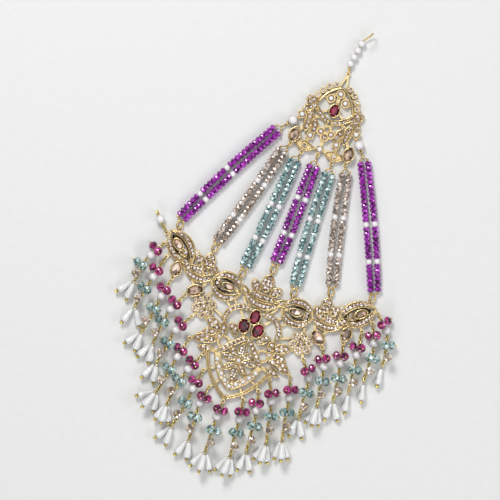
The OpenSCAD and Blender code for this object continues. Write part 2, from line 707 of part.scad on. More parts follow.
// What covers the rims of the leaves behind it
module top_covers(inset) {
    both_sides() {
        for (m = TOP_LOBES) lobe(m, inset);
        for (c = TOP_CUPS) cup(c, inset);
        if (inset == 0) stone_shape(TOP_PEAR, collar_w);
    }
    for (m = TOP_MIDDLE_LOBES) lobe(m, inset);
    if (inset == 0) stone_shape(CROWN_RUBY, collar_w);
}

module top_seats() {
    both_sides() {
        for (m = TOP_BACK) seats(m, true);
        for (m = TOP_BANDS) seats(m, false);
        for (m = concat(TOP_LOBES, TOP_CUPS)) if (m[2] > 1.4) translate(base(m)) circle(r = 0.8, $fn = 16);
    }
    translate(base(TOP_MIDDLE_LOBES[0])) circle(r = 0.8, $fn = 16);
}

module top_plaque() {
    color(gold) {
        cast(0, plate_t) top_plate();
        cast(plate_t - sunk, relief_z) top_rims();
        cast(plate_t - sunk, relief_z - seat_low) top_seats();
        cast(plate_t - sunk, collar_z) {
            both_sides() collar(TOP_PEAR);
            collar(CROWN_RUBY);
        }
        both_sides() eyes([for (i = [0 : 2]) TOP_EYES[i]]);
        eyes([TOP_EYES[3], concat(BAIL_EYE, [0, 119.9])]);
    }
}

// Stones and pearls of the plaques

module ruby_stone(s) {
    color(ruby) cut_stone(s, ruby_table_z);
}

module smoky_stone(s) {
    color(smoky) cut_stone(s, side_table_z);
}

function other_side(s) = [-s[0], s[1], s[2], s[3], -s[4], s[5]];

// A pearl with a flat foot just over the plate
module seated_pearl(p, d, z) {
    color(white_pearl) difference() {
        translate(at_z(p, z)) sphere(r = d / 2, $fn = 64);
        translate([p[0] - d, p[1] - d, plate_t + 0.1 - 2 * d]) cube(2 * d);
    }
}

// Hook string

function hook_dir() = unit(HOOK_LAST - HOOK_FIRST);

module hair_hook() {
    v = unit(HOOK_FIRST - BAIL_EYE);
    bend = unit(HOOK_BEND - HOOK_LAST);
    from_loop = BAIL_EYE + (eye_mid + loop_r) * v;
    bead = BAIL_EYE + (eye_mid + loop_r + 0.5) * v;
    route = concat(
        [at_z(from_loop, loop_z), at_z(HOOK_FIRST - 2 * hook_dir(), hook_z), at_z(HOOK_LAST + 2 * hook_dir(), hook_z)],
        [for (a = [0 : 20 : 180]) at_z(HOOK_BEND + hook_turn_r * sin(a) * bend, hook_z + hook_turn_r * (1 - cos(a)))],
        [at_z(HOOK_BEND - hook_tip_l * bend, hook_z + 2 * hook_turn_r)]
    );
    color(gold) {
        upright_loop(at_z(BAIL_EYE + eye_mid * v, loop_z), v, loop_r);
        tube(route, [for (p = route) thread_r], 10);
        ball(at_z(bead, loop_z + 0.2), hook_bead_r);
    }
}

module hook_pearls() {
    color(white_pearl) for (i = [0 : hook_pearls_n - 1])
        drilled_pearl(at_z(HOOK_FIRST + i / (hook_pearls_n - 1) * (HOOK_LAST - HOOK_FIRST), hook_z), at_z(hook_dir(), 0), hook_pearl_d);
}

// Strands

// Point of a strand's string on one side (1 or -1), t going from 0 at the top to 1
function string_at(s, side, t) =
    let (
        a = [s[2], s[3]],
        b = [s[4], s[5]],
        p = arc_at(a, b, s[6], t),
        across = unit(p - arc_middle(a, b, s[6]))
    )
    at_z(p + side * (strand_apart / 2 + strand_swell * sin(180 * t)) * across, strand_z);

module strand(s) {
    for (side = [-1, 1])
        tube([for (i = [0 : strand_steps]) string_at(s, side, i / strand_steps)], [for (i = [0 : strand_steps]) strand_d / 2]);
}

// Crimps at one end of a strand's strings and the wires from them to the fork at p
module crimps(s, t, p) {
    for (side = [-1, 1]) {
        end = string_at(s, side, t);
        out = unit(end - string_at(s, side, abs(t - 0.05)));
        rod(end + ball_gap * out, end + (ball_gap + crimp_l) * out, crimp_r);
        from = end + (ball_gap + crimp_l - wire_r) * out;
        rod(from, p + fork_start * unit(from - p), prong_r);
    }
}

module strand_links() {
    color(gold) for (s = STRANDS) {
        e = [s[0], s[1]];
        v = unit([s[2], s[3]] - e);
        fork = at_z([s[2], s[3]] - link_fork * v, strand_z);
        upright_loop(at_z(e + eye_mid * v, loop_z), v, loop_r);
        rod(at_z(e + (eye_mid + loop_r) * v, loop_z), fork, prong_r + 0.02);
        crimps(s, 0, fork);
        translate(fork - [0, 0, fork_r]) cylinder(r = fork_r, h = 2 * fork_r, $fn = 48);
    }
}

module oval(half) {
    for (side = [-1, 1]) translate([side * ring_straight / 2, 0]) circle(r = half, $fn = 48);
    square([ring_straight, 2 * half], center = true);
}

module strand_rings() {
    color(gold) for (s = STRANDS) {
        p = [s[7], s[8]];
        v = unit([s[4], s[5]] - p);
        to_middle = ring_straight / 2 + ring_half - ring_wall / 2;
        translate(at_z(p + to_middle * v, 0)) rotate(atan2(v[1], v[0])) cast(ring_z, ring_z + ring_t) difference() {
            oval(ring_half);
            oval(ring_half - ring_wall);
        }
        fork = at_z(p + 2 * to_middle * v, ring_z + ring_t / 2);
        crimps(s, 1, fork);
        ball(fork, fork_r);
    }
}

// Fringe. The parts of a row of DROPS

function drop_eye(d) = [d[0], d[1]];
function drop_pearl(d) = [d[2], d[3]];
function drop_first(d) = [d[4], d[5]];
function drop_second(d) = [d[6], d[7]];
function drop_end(d) = [d[8], d[9]];
function drop_axis(d) = unit(drop_first(d) - drop_eye(d));
function drop_outside(d) = d[0] < 0 ? -1 : 1;
function is_short(d) = norm(drop_end(d) - drop_first(d)) < 1;

// Where a chain begins at its loop, and where it meets the wire through the pearl
function chain_top(d) =
    let (e = drop_eye(d))
    at_z(e + (eye_mid + loop_r + 0.1) * unit(drop_pearl(d) - e), loop_z);
function chain_in(d) = at_z(drop_pearl(d) - thread_l * drop_axis(d), drop_z);

// Stations where beads hang: the point on the chain, with the chain's direction seen from above
function magenta_station(d) =
    let (u = unit(chain_in(d) - chain_top(d)))
    [chain_in(d) - magenta_back * u, unit([u[0], u[1]])];
function aqua_station(d) = [at_z(drop_first(d), drop_z), unit(drop_second(d) - drop_pearl(d))];
function champagne_station(d) = [at_z(drop_second(d), drop_z), unit(drop_end(d) - drop_first(d))];

// Direction of a pin that rises at an angle to the outer side (side 1) or inner side (side -1) of a chain
function pin_dir(d, s, side, rise) =
    let (n = left_of(s[1]))
    at_z(cos(rise) * side * (n[0] * drop_outside(d) < 0 ? -n : n), sin(rise));

module bead(s, v, out) {
    rondelle(s[0] + out * v, v);
}

module bead_pin(s, v, out) {
    reach = out + glass_t / 2 + ball_gap + ball_r;
    rod(s[0] + pin_start * v, s[0] + reach * v, pin_r);
    wire_tip(s[0] + reach * v, v, ball_r);
}

// What hangs at a station: its children for each bead, with its direction and distance
module hang(s, v, out) {
    $s = s;
    $v = v;
    $out = out;
    children();
}

module magenta_hangings(d) {
    s = magenta_station(d);
    hang(s, pin_dir(d, s, d[11], lower_tilt), bead_out) children();
    hang(s, pin_dir(d, s, -d[11], upper_tilt), upper_out) children();
}

module aqua_hangings(d) {
    s = aqua_station(d);
    hang(s, pin_dir(d, s, 1, lower_tilt), bead_out) children();
    hang(s, pin_dir(d, s, -1, upper_tilt), upper_out) children();
}

module champagne_hangings(d) {
    s = champagne_station(d);
    hang(s, pin_dir(d, s, 1, upper_tilt), upper_out) children();
}

// Top of teardrop i of a drop and the end of its axis
function tear_heights(d, i) = len(d[10]) > 2 ? TEAR_THREE[i] : TEAR_TWO[i];
function tear_dir(d, i) = [sin(d[10][i]), -cos(d[10][i])];
function tear_top(d, i) = at_z(drop_end(d) + tear_reach * tear_dir(d, i), tear_heights(d, i)[0]);
function tear_axis(d, i) = unit(at_z(
    (tear_gap + widest_at * tear_l) * tear_dir(d, i),
    tear_heights(d, i)[1] - tear_heights(d, i)[0]
));

module tear_pin(d, i) {
    top = tear_top(d, i);
    low = top + (tear_gap + tear_l + ball_gap + end_ball_r) * tear_axis(d, i);
    from = at_z(drop_end(d), drop_z);
    inwards = unit(top - from);
    axis = tear_axis(d, i);
    rod(from + pin_start * inwards, top, pin_r);
    wire_tip(top, axis, bend_r);
    rod(top, low, pin_r);
    wire_tip(low, axis, end_ball_r);
}

module drop_chain(d) {
    e = drop_eye(d);
    v = unit(drop_pearl(d) - e);
    p = at_z(drop_pearl(d), drop_z);
    through = p - chain_in(d);
    first = at_z(drop_first(d), drop_z);
    r = chain_d / 2;
    upright_loop(at_z(e + eye_mid * v, loop_z), v, loop_r);
    rod(chain_top(d), chain_in(d), r);
    rod(p - 1.1 * through, p + 1.1 * through, thread_r);
    rod(p + through, first, r);
    if (is_short(d)) {
        wire_tip(first, at_z(drop_axis(d), 0), end_ball_r, end_flat);
    } else {
        second = at_z(drop_second(d), drop_z);
        end = at_z(drop_end(d), drop_z);
        ball(first, r + joint_over);
        rod(first, second, r);
        ball(second, r + joint_over);
        rod(second, end, r);
        ball(end, end_ball_r);
    }
}

module drop_wires(list) {
    color(gold) for (i = list) {
        drop_chain(DROPS[i]);
        if (!is_short(DROPS[i])) {
            magenta_hangings(DROPS[i]) bead_pin($s, $v, $out);
            aqua_hangings(DROPS[i]) bead_pin($s, $v, $out);
            champagne_hangings(DROPS[i]) bead_pin($s, $v, $out);
            for (j = [0 : len(DROPS[i][10]) - 1]) tear_pin(DROPS[i], j);
        }
    }
}

module drop_pearls(list) {
    color(white_pearl) for (i = list)
        drilled_pearl(at_z(drop_pearl(DROPS[i]), drop_z), at_z(drop_axis(DROPS[i]), 0), pearl_d);
}

module magenta_beads(list) {
    color(magenta) for (i = list) if (!is_short(DROPS[i])) magenta_hangings(DROPS[i]) bead($s, $v, $out);
}

module aqua_beads(list) {
    color(aqua) for (i = list) if (!is_short(DROPS[i])) aqua_hangings(DROPS[i]) bead($s, $v, $out);
}

module champagne_beads(list) {
    color(champagne) for (i = list) if (!is_short(DROPS[i])) champagne_hangings(DROPS[i]) bead($s, $v, $out);
}

module teardrops(list) {
    color(white_pearl) for (i = list) if (len(DROPS[i][10]) > 0)
        for (j = [0 : len(DROPS[i][10]) - 1])
            teardrop(tear_top(DROPS[i], j) + tear_gap * tear_axis(DROPS[i], j), tear_axis(DROPS[i], j));
}

// Nodes

module ruby_crown() ruby_stone(CROWN_RUBY);
module ruby_upper() ruby_stone(RUBIES[0]);
module ruby_left() ruby_stone(RUBIES[1]);
module ruby_right() ruby_stone(RUBIES[2]);
module pear_stone_top_left() smoky_stone(other_side(TOP_PEAR));
module pear_stone_top_right() smoky_stone(TOP_PEAR);
module pear_stone_left() smoky_stone(other_side(SIDE_STONES[0]));
module pear_stone_right() smoky_stone(SIDE_STONES[0]);
module oval_stone_left() smoky_stone(other_side(SIDE_STONES[1]));
module oval_stone_right() smoky_stone(SIDE_STONES[1]);
module marquise_stone_left() smoky_stone(other_side(SIDE_STONES[2]));
module marquise_stone_right() smoky_stone(SIDE_STONES[2]);
module leaf_stone_left() smoky_stone(other_side(SIDE_STONES[3]));
module leaf_stone_right() smoky_stone(SIDE_STONES[3]);
module side_pearl_left() seated_pearl([-SIDE_PEARL[0], SIDE_PEARL[1]], side_pearl_d, 2.9);
module side_pearl_right() seated_pearl(SIDE_PEARL, side_pearl_d, 2.9);
module claw_pearl() seated_pearl(CLAW_PEARL, claw_pearl_d, 2.2);
module strand_purple_left() color(purple) strand(STRANDS[0]);
module strand_champagne_left() color(champagne) strand(STRANDS[1]);
module strand_aqua_left() color(aqua) strand(STRANDS[2]);
module strand_purple_centre() color(purple) strand(STRANDS[3]);
module strand_aqua_right() color(aqua) strand(STRANDS[4]);
module strand_champagne_right() color(champagne) strand(STRANDS[5]);
module strand_purple_right() color(purple) strand(STRANDS[6]);
module drop_wires_left() drop_wires(LEFT_DROPS);
module drop_wires_centre() drop_wires(CENTRE_DROPS);
module drop_wires_right() drop_wires(RIGHT_DROPS);
module drop_pearls_left() drop_pearls(LEFT_DROPS);
module drop_pearls_centre() drop_pearls(CENTRE_DROPS);
module drop_pearls_right() drop_pearls(RIGHT_DROPS);
module magenta_beads_left() magenta_beads(LEFT_DROPS);
module magenta_beads_centre() magenta_beads(CENTRE_DROPS);
module magenta_beads_right() magenta_beads(RIGHT_DROPS);
module aqua_beads_left() aqua_beads(LEFT_DROPS);
module aqua_beads_centre() aqua_beads(CENTRE_DROPS);
module aqua_beads_right() aqua_beads(RIGHT_DROPS);
module champagne_beads_left() champagne_beads(LEFT_DROPS);
module champagne_beads_centre() champagne_beads(CENTRE_DROPS);
module champagne_beads_right() champagne_beads(RIGHT_DROPS);
module teardrops_left() teardrops(LEFT_DROPS);
module teardrops_centre() teardrops(CENTRE_DROPS);
module teardrops_right() teardrops(RIGHT_DROPS);

top_plaque();
lower_plaque();
hair_hook();
hook_pearls();
ruby_crown();
ruby_upper();
ruby_left();
ruby_right();
pear_stone_top_left();
pear_stone_top_right();
pear_stone_left();
pear_stone_right();
oval_stone_left();
oval_stone_right();
marquise_stone_left();
marquise_stone_right();
leaf_stone_left();
leaf_stone_right();
side_pearl_left();
side_pearl_right();
claw_pearl();
strand_links();
strand_rings();
strand_purple_left();
strand_champagne_left();
strand_aqua_left();
strand_purple_centre();
strand_aqua_right();
strand_champagne_right();
strand_purple_right();
drop_wires_left();
drop_wires_centre();
drop_wires_right();
drop_pearls_left();
drop_pearls_centre();
drop_pearls_right();
magenta_beads_left();
magenta_beads_centre();
magenta_beads_right();
aqua_beads_left();
aqua_beads_centre();
aqua_beads_right();
champagne_beads_left();
champagne_beads_centre();
champagne_beads_right();
teardrops_left();
teardrops_centre();
teardrops_right();
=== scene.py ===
import math
import random

import bpy
import numpy as np
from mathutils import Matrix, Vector
from mathutils.bvhtree import BVHTree


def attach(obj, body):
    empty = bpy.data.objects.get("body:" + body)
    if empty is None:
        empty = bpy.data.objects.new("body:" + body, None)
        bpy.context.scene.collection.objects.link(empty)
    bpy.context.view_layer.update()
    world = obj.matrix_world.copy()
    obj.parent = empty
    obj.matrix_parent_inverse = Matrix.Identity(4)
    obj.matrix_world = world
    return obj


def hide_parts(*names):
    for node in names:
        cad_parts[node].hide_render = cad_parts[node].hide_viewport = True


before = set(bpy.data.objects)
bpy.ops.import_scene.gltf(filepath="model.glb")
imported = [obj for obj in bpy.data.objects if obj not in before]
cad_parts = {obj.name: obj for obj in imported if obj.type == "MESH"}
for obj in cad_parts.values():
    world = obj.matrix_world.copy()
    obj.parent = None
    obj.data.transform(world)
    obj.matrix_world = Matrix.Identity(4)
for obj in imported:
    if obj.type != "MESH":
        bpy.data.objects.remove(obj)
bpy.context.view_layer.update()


# Camera and stage
# The piece lies on its back on matt white card and is seen from straight above, turned by 21
# degrees. A large soft box overhead, a lamp from the upper left, weaker ones from right and below.

camera_data = bpy.data.cameras.new("camera")
camera_data.lens = 160
camera_data.sensor_width = 36
camera_data.clip_start = 0.01
camera = bpy.data.objects.new("camera", camera_data)
camera.location = (-0.01302, 0.03149, 1.002)
camera.rotation_euler = (0, 0, math.radians(21.0))
bpy.context.collection.objects.link(camera)
bpy.context.scene.camera = camera
bpy.context.scene.view_settings.view_transform = "Standard"


def linear(code):
    """sRGB hex to the linear colour that a shader takes."""
    parts = [int(code[i:i + 2], 16) / 255 for i in (1, 3, 5)]
    return [p / 12.92 if p <= 0.04045 else ((p + 0.055) / 1.055) ** 2.4 for p in parts] + [1.0]


def node(tree, kind, links=(), **settings):
    """A shader node with settings on its sockets or on itself, and links as (socket, node, output)."""
    made = tree.nodes.new(kind)
    sockets = {socket.name.lower().replace(" ", "_"): socket for socket in made.inputs}
    for name, value in settings.items():
        if name in sockets:
            sockets[name].default_value = value
        else:
            setattr(made, name, value)
    for socket, other, output in links:
        tree.links.new(other.outputs[output], made.inputs[socket])
    return made


def new_tree(name):
    """A material and its shader tree, emptied."""
    material = bpy.data.materials.new(name)
    material.use_nodes = True
    material.node_tree.nodes.clear()
    return material, material.node_tree


# Side of the sheet and its distance below the piece in metres, so that the two share no plane
card_size = 3
card_below = 0.00002


def card():
    """Matt white card: an even white with a faint mottle 3.3 mm wide."""
    material, tree = new_tree("matt_white_card")
    mottle = node(tree, "ShaderNodeTexNoise", scale=300.0 * card_size, detail=2.0)
    tone = node(tree, "ShaderNodeMixRGB", [("Fac", mottle, "Fac")],
                color1=linear("#e4e4e2"), color2=linear("#e9e9e8"))
    skin = node(tree, "ShaderNodeBsdfPrincipled", [("Base Color", tone, "Color")], roughness=0.9)
    node(tree, "ShaderNodeOutputMaterial", [("Surface", skin, "BSDF")])
    return material


bpy.ops.mesh.primitive_plane_add(size=card_size, location=(0, 0, -card_below))
floor = bpy.context.object
floor.name = "floor"
floor.data.materials.append(card())

world = bpy.data.worlds.new("studio")
world.use_nodes = True
world.node_tree.nodes["Background"].inputs["Color"].default_value = linear("#e8ebee")
world.node_tree.nodes["Background"].inputs["Strength"].default_value = 0.36
bpy.context.scene.world = world

# Name, position, size and power of each light, all turned to the middle of the piece
lit_point = Vector((0, 0.03, 0))
for name, spot, size, power in (
    ("overhead", (0.05, 0.1, 1.5), 0.9, 3.0),
    ("key", (-0.45, 0.55, 0.75), 0.3, 6.0),
    ("fill", (0.75, 0.1, 0.5), 0.4, 1.8),
    ("rim", (0.1, -0.7, 0.4), 0.3, 1.5),
):
    light = bpy.data.lights.new(name, "AREA")
    light.size = size
    light.energy = power
    lamp = bpy.data.objects.new(name, light)
    lamp.location = spot
    lamp.rotation_euler = (lit_point - Vector(spot)).to_track_quat("-Z", "Y").to_euler()
    bpy.context.collection.objects.link(lamp)


# Plaques
# Two castings in brass with pale gold plating, polished on the rims, with brown shade painted into
# the pierced work. Every rim carries a rounded wire.

def dress(names, material):
    """Gives CAD nodes a material."""
    for name in names:
        part = bpy.data.objects[name]
        part.data.materials.clear()
        part.data.materials.append(material)


def metal(name, light_code, dark_code, painted_shade_code, rough):
    """Plated metal: two tones in soft clouds 3 mm wide, brown shade painted into hollows, a cast skin
    0.7 mm wide and polishing marks 0.2 mm wide, which also make the gloss uneven."""
    material, tree = new_tree(name)
    where = node(tree, "ShaderNodeTexCoord")
    clouds = node(tree, "ShaderNodeTexNoise", [("Vector", where, "Object")], scale=330.0, detail=3.0)
    tone = node(tree, "ShaderNodeMixRGB", [("Fac", clouds, "Fac")],
                color1=linear(dark_code), color2=linear(light_code))
    # Painted shade: ambient occlusion turns the colour towards a brown in hollows and between parts
    occluded_shade = node(tree, "ShaderNodeAmbientOcclusion", distance=0.0012, samples=8)
    shade_amount = node(tree, "ShaderNodeMath", [(0, occluded_shade, "AO")], operation="POWER")
    shade_amount.inputs[1].default_value = 1.6
    shaded_tone = node(tree, "ShaderNodeMixRGB", [("Fac", shade_amount, "Value"), ("Color2", tone, "Color")],
                color1=linear(painted_shade_code))
    marks = node(tree, "ShaderNodeTexNoise", [("Vector", where, "Object")], scale=5000.0, detail=2.0)
    uneven = 0.18
    gloss = node(tree, "ShaderNodeMath", [(0, marks, "Fac")], operation="MULTIPLY_ADD")
    gloss.inputs[1].default_value = uneven
    gloss.inputs[2].default_value = rough - uneven / 2
    cast_skin = node(tree, "ShaderNodeTexNoise", [("Vector", where, "Object")], scale=1400.0, detail=3.0)
    waves = node(tree, "ShaderNodeBump", [("Height", cast_skin, "Fac")], strength=0.55, distance=0.0003)
    relief = node(tree, "ShaderNodeBump", [("Height", marks, "Fac"), ("Normal", waves, "Normal")],
                  strength=0.12, distance=0.0001)
    inputs = [("Base Color", shaded_tone, "Color"), ("Roughness", gloss, "Value"), ("Normal", relief, "Normal")]
    skin = node(tree, "ShaderNodeBsdfPrincipled", inputs, metallic=1.0)
    node(tree, "ShaderNodeOutputMaterial", [("Surface", skin, "BSDF")])
    return material


# Pale gold: nearly cream where the light strikes it, with brown shade painted between the stones
gold_plate = metal("pale_gold_plate", "#fae9b8", "#dabc7e", "#86603a", 0.24)
dress(["top_plaque", "lower_plaque"], gold_plate)

up = np.array([0.0, 0.0, 1.0])


def unit(v):
    """The vector of length 1 along v."""
    return np.array(v, float) / np.linalg.norm(v)


def lifted(v, z):
    """A point or direction of the plan, with its height."""
    return np.array([v[0], v[1], z], float)


def place(shape, middle, axis=up):
    """A shape whose own axis is Z, moved to middle with its axis along another direction."""
    points, faces = shape
    z = unit(axis)
    x = unit(np.cross([0.0, 1.0, 0.0] if abs(z[1]) < 0.9 else [1.0, 0.0, 0.0], z))
    return points @ np.array([x, np.cross(z, x), z]) + np.array(middle, float), faces


def end_caps(rings, sides):
    """The faces that close the first and the last of some rings of points."""
    return [tuple(reversed(range(sides))), tuple(range((rings - 1) * sides, rings * sides))]


def wall(rings, sides, closed=False):
    """The faces between rings of points, with caps unless the last ring meets the first."""
    faces = []
    for k in range(rings if closed else rings - 1):
        m = (k + 1) % rings
        for i in range(sides):
            j = (i + 1) % sides
            faces.append((k * sides + i, k * sides + j, m * sides + j, m * sides + i))
    return faces if closed else faces + end_caps(rings, sides)


def turned(profile, sides, scale=(), offset=0.0):
    """A turned shape: profile is radius and height, scale an optional factor for each side."""
    points = []
    for r, z in profile:
        for i in range(sides):
            a = 2 * math.pi * (i + offset) / sides
            factor = scale[i % len(scale)] if scale else 1.0
            points.append((r * factor * math.cos(a), r * factor * math.sin(a), z))
    return np.array(points), wall(len(profile), sides)


def round_ball(r, sides):
    """A ball of radius r."""
    rings = sides // 2
    steps = [math.pi * (k + 0.5) / rings for k in range(rings)]
    return turned([(r * math.sin(a), -r * math.cos(a)) for a in steps], sides)


def wire_along(path, r, sides=6, closed=False):
    """Round wire of radius r through points."""
    path = np.array(path, float)
    n = len(path)
    points = []
    for k in range(n):
        before, after = (k - 1, (k + 1) % n) if closed else (max(k - 1, 0), min(k + 1, n - 1))
        u = unit(path[after] - path[before])
        side = unit(np.cross(u, up if abs(u[2]) < 0.95 else [1, 0, 0]))
        rise = np.cross(side, u)
        for i in range(sides):
            a = 2 * math.pi * i / sides
            points.append(path[k] + r * (math.cos(a) * side + math.sin(a) * rise))
    return np.array(points), wall(n, sides, closed)


def piece(name, shapes, material, stands_for=(), smooth=False):
    """One object from shapes in millimetres, riding on the part."""
    points, faces, start = [], [], 0
    for p, f in shapes:
        points.append(p)
        faces += [tuple(i + start for i in face) for face in f]
        start += len(p)
    mesh = bpy.data.meshes.new(name)
    mesh.from_pydata((np.vstack(points) / 1000).tolist(), [], faces)
    mesh.polygons.foreach_set("use_smooth", [smooth] * len(mesh.polygons))
    mesh.materials.append(material)
    mesh.update()
    made = bpy.data.objects.new(name, mesh)
    bpy.context.collection.objects.link(made)
    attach(made, "root")
    if stands_for:
        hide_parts(*stands_for)
    return made


def ends(row):
    """The two ends of a motif or a strand, the first four columns of its row."""
    return np.array(row[0:2], float), np.array(row[2:4], float)


def arc_radius(a, b, s):
    """Radius of the arc from a to b that bows out by s to the left, negative with a negative s."""
    return (np.dot(b - a, b - a) / 4 + s * s) / (2 * s)


def arc_middle(a, b, s):
    """Middle of that arc's circle."""
    u = unit(b - a)
    return (a + b) / 2 + np.array([-u[1], u[0]]) * (s - arc_radius(a, b, s))


def arc_at(a, b, s, t):
    """Point at t from 0 to 1 on that arc."""
    r = arc_radius(a, b, s)
    u = unit(b - a)
    turn = math.asin(min(1.0, np.linalg.norm(b - a) / 2 / abs(r))) * (1 - 2 * t)
    return arc_middle(a, b, s) + np.array([-u[1], u[0]]) * r * math.cos(turn) - u * abs(r) * math.sin(turn)


def leaf_edge(m, inset, steps=12):
    """Closed outline of a leaf motif, a distance inside its edge. An arc can't be quite straight, so
    the left one bows out by 0.01 mm more."""
    a, b = ends(m)
    bow, width = m[4:6]
    u = unit(b - a)
    back = inset / math.sin(2 * math.atan(width / np.linalg.norm(b - a)))
    a, b = a + u * back, b - u * back
    left = [arc_at(a, b, bow + width / 2 + 0.01 - inset, k / steps) for k in range(steps + 1)]
    right = [arc_at(a, b, bow - width / 2 + inset, k / steps) for k in range(steps - 1, 0, -1)]
    return left + right


def mirrored(rows):
    """The rows of a table of motifs with their mirror images."""
    return rows + [[-m[0], m[1], -m[2], m[3], -m[4]] + m[5:] for m in rows]


# Leaf motifs of the right half in millimetres: base, tip, bow to the left, width, and 1 where rows of
# stones fill it
LOWER_BACK = [
    [9.4, 12.2, 24.6, 12.8, 5.0, 3.6, 1],
    [24.6, 12.8, 9.4, 12.2, 5.0, 3.6, 1],
    [24.6, 15.0, 37.0, 15.6, -0.5, 4.0, 1],
    [27.8, 15.2, 23.6, 19.0, 0.4, 4.2, 1],
    [30.0, 16.2, 34.8, 21.4, 0.3, 4.4, 1],
    [35.2, 15.6, 49.6, 27.4, 4.2, 3.6, 1],
    [49.6, 27.4, 35.2, 15.6, 4.2, 3.6, 1],
    [10.8, -9.4, 12.4, -2.2, 0.1, 4.0, 1],
    [12.6, -7.4, 20.4, -3.8, 0.5, 4.8, 1],
    [12.4, -15.2, 19.8, -17.4, -0.3, 3.0, 1]
]
LOWER_FRONT = [
    [20.4, 16.4, 20.6, 9.0, 1.0, 3.4, 1],
    [28.2, 16.6, 28.3, 24.4, 0.1, 5.4, 1],
    [23.4, 13.4, 38.8, 14.2, -2.6, 3.8, 1],
    [34.0, 12.6, 39.4, 19.0, -0.6, 3.8, 1],
    [37.8, 21.4, 42.6, 15.8, 0.6, 3.6, 1],
    [4.8, -7.2, 9.8, -2.0, 0.4, 4.2, 1],
    [13.2, -8.6, 20.2, -10.2, 0.3, 3.8, 1],
    [12.0, -12.2, 23.6, -14.8, 1.0, 5.0, 1]
]
LOWER_MIDDLE = [
    [-7.4, 14.2, 7.4, 14.2, -0.5, 3.6, 1],
    [2.8, 14.6, 7.2, 20.0, 0.5, 4.4, 1],
    [-2.8, 14.6, -7.2, 20.0, -0.5, 4.4, 1],
    [0, 15.8, 0, 24.8, 0.1, 6.0, 1],
    [-10.2, 15.2, 10.2, 15.2, -5.4, 3.8, 1],
    [5.2, 11.8, 10.2, 16.2, -0.6, 3.4, 1],
    [-5.2, 11.8, -10.2, 16.2, 0.6, 3.4, 1],
    [0.8, -15.8, 5.6, -12.2, 0.2, 3.4, 1],
    [-0.8, -15.8, -5.6, -12.2, -0.2, 3.4, 1],
    [1.0, -17.0, 8.8, -16.4, 0.2, 3.4, 1],
    [-1.0, -17.0, -8.8, -16.4, -0.2, 3.4, 1],
    [0.8, -18.0, 6.2, -23.0, -0.3, 3.2, 1],
    [-0.8, -18.0, -6.2, -23.0, 0.3, 3.2, 1],
    [0, -18.4, 0, -28.0, 0.1, 3.8, 1],
    [0, -15.6, 0, -8.0, 0.1, 4.0, 1]
]
# Bands of one width, with the same columns
LOWER_BANDS = [
    [3.6, 6.6, 12.7, -2.0, 3.3, 2.6, 1],
    [12.9, 12.4, 22.8, 12.8, 2.7, 0.7, 0],
    [22.8, 12.8, 12.9, 12.4, 2.7, 0.7, 0],
    [37.6, 17.4, 47.4, 25.4, 2.6, 0.7, 0],
    [47.4, 25.4, 37.6, 17.4, 2.6, 0.7, 0],
    [0.3, -6.2, 9.6, -15.8, 0.5, 2.6, 1],
    [9.9, -16.4, 0.4, -29.2, 1.7, 3.3, 0]
]
SHIELD_FRAME = [15.0, -16.6, 0.2, -34.7, 2.5, 1.7, 0]
TOP_BACK = [
    [7.6, 101.0, 13.6, 106.2, 0.2, 5.0, 1],
    [9.0, 102.6, 13.6, 98.6, 0.3, 3.6, 1],
    [9.3, 89.8, 9.5, 101.2, 0.1, 4.2, 1],
    [5.0, 90.2, 7.0, 98.0, 0.1, 3.8, 1],
    [2.2, 84.4, 12.0, 84.9, -0.5, 4.8, 0]
]
TOP_BANDS = [[9.4, 103.9, 0.3, 97.8, 0.9, 2.6, 1], [0.2, 114.4, 8.1, 105.2, 1.3, 1.0, 0]]

# A wire along each side of every leaf and band, its top 0.2 mm over the cast rims. On a narrow band
# the two are thicker and run into one.
rim_z = 2.08
rim_inset = 0.36
rim_wire_r = 0.24
narrow = 1.5
narrow_wire_r = 0.3
band_steps = 20
wires = []
for m in mirrored(LOWER_BACK + LOWER_FRONT + TOP_BACK) + LOWER_MIDDLE:
    edge = [lifted(p, rim_z) for p in leaf_edge(m, rim_inset)]
    wires.append(wire_along(edge, rim_wire_r, closed=True))
for m in mirrored(LOWER_BANDS + [SHIELD_FRAME] + TOP_BANDS):
    a, b = ends(m)
    bow, width = m[4:6]
    for side in (-1, 1):
        path = []
        for k in range(band_steps + 1):
            p = arc_at(a, b, bow, k / band_steps)
            out = unit(p - arc_middle(a, b, bow))
            path.append(lifted(p + side * max(width / 2 - rim_inset, 0.0) * out, rim_z))
        wires.append(wire_along(path, rim_wire_r if width > narrow else narrow_wire_r))
piece("rim_wires", wires, gold_plate, smooth=True)


# Large stones
# Machine-cut glass with a foiled back: dark ruby and smoky champagne. Each sits in a collar whose
# edge is burnished round and is held by four claws.

def facet_colours(tree, size, channel, deep, main, painted_glint):
    """Cells of a size in millimetres, each in a colour between three stops of (position, hex), from painted
    shade through the body colour to a painted highlight.
    """
    where = node(tree, "ShaderNodeTexCoord")
    cells = node(tree, "ShaderNodeTexVoronoi", [("Vector", where, "Object")], scale=1000.0 / size)
    split = node(tree, "ShaderNodeSeparateColor", [("Color", cells, "Color")])
    ramp = node(tree, "ShaderNodeValToRGB", [("Fac", split, channel)])
    # Painted light: the lowest stop is painted shade, the highest a painted highlight
    stops = ramp.color_ramp.elements
    stops[0].position = deep[0]
    stops[0].color = linear(deep[1])
    stops[1].position = painted_glint[0]
    stops[1].color = linear(painted_glint[1])
    stops.new(main[0]).color = linear(main[1])
    return ramp


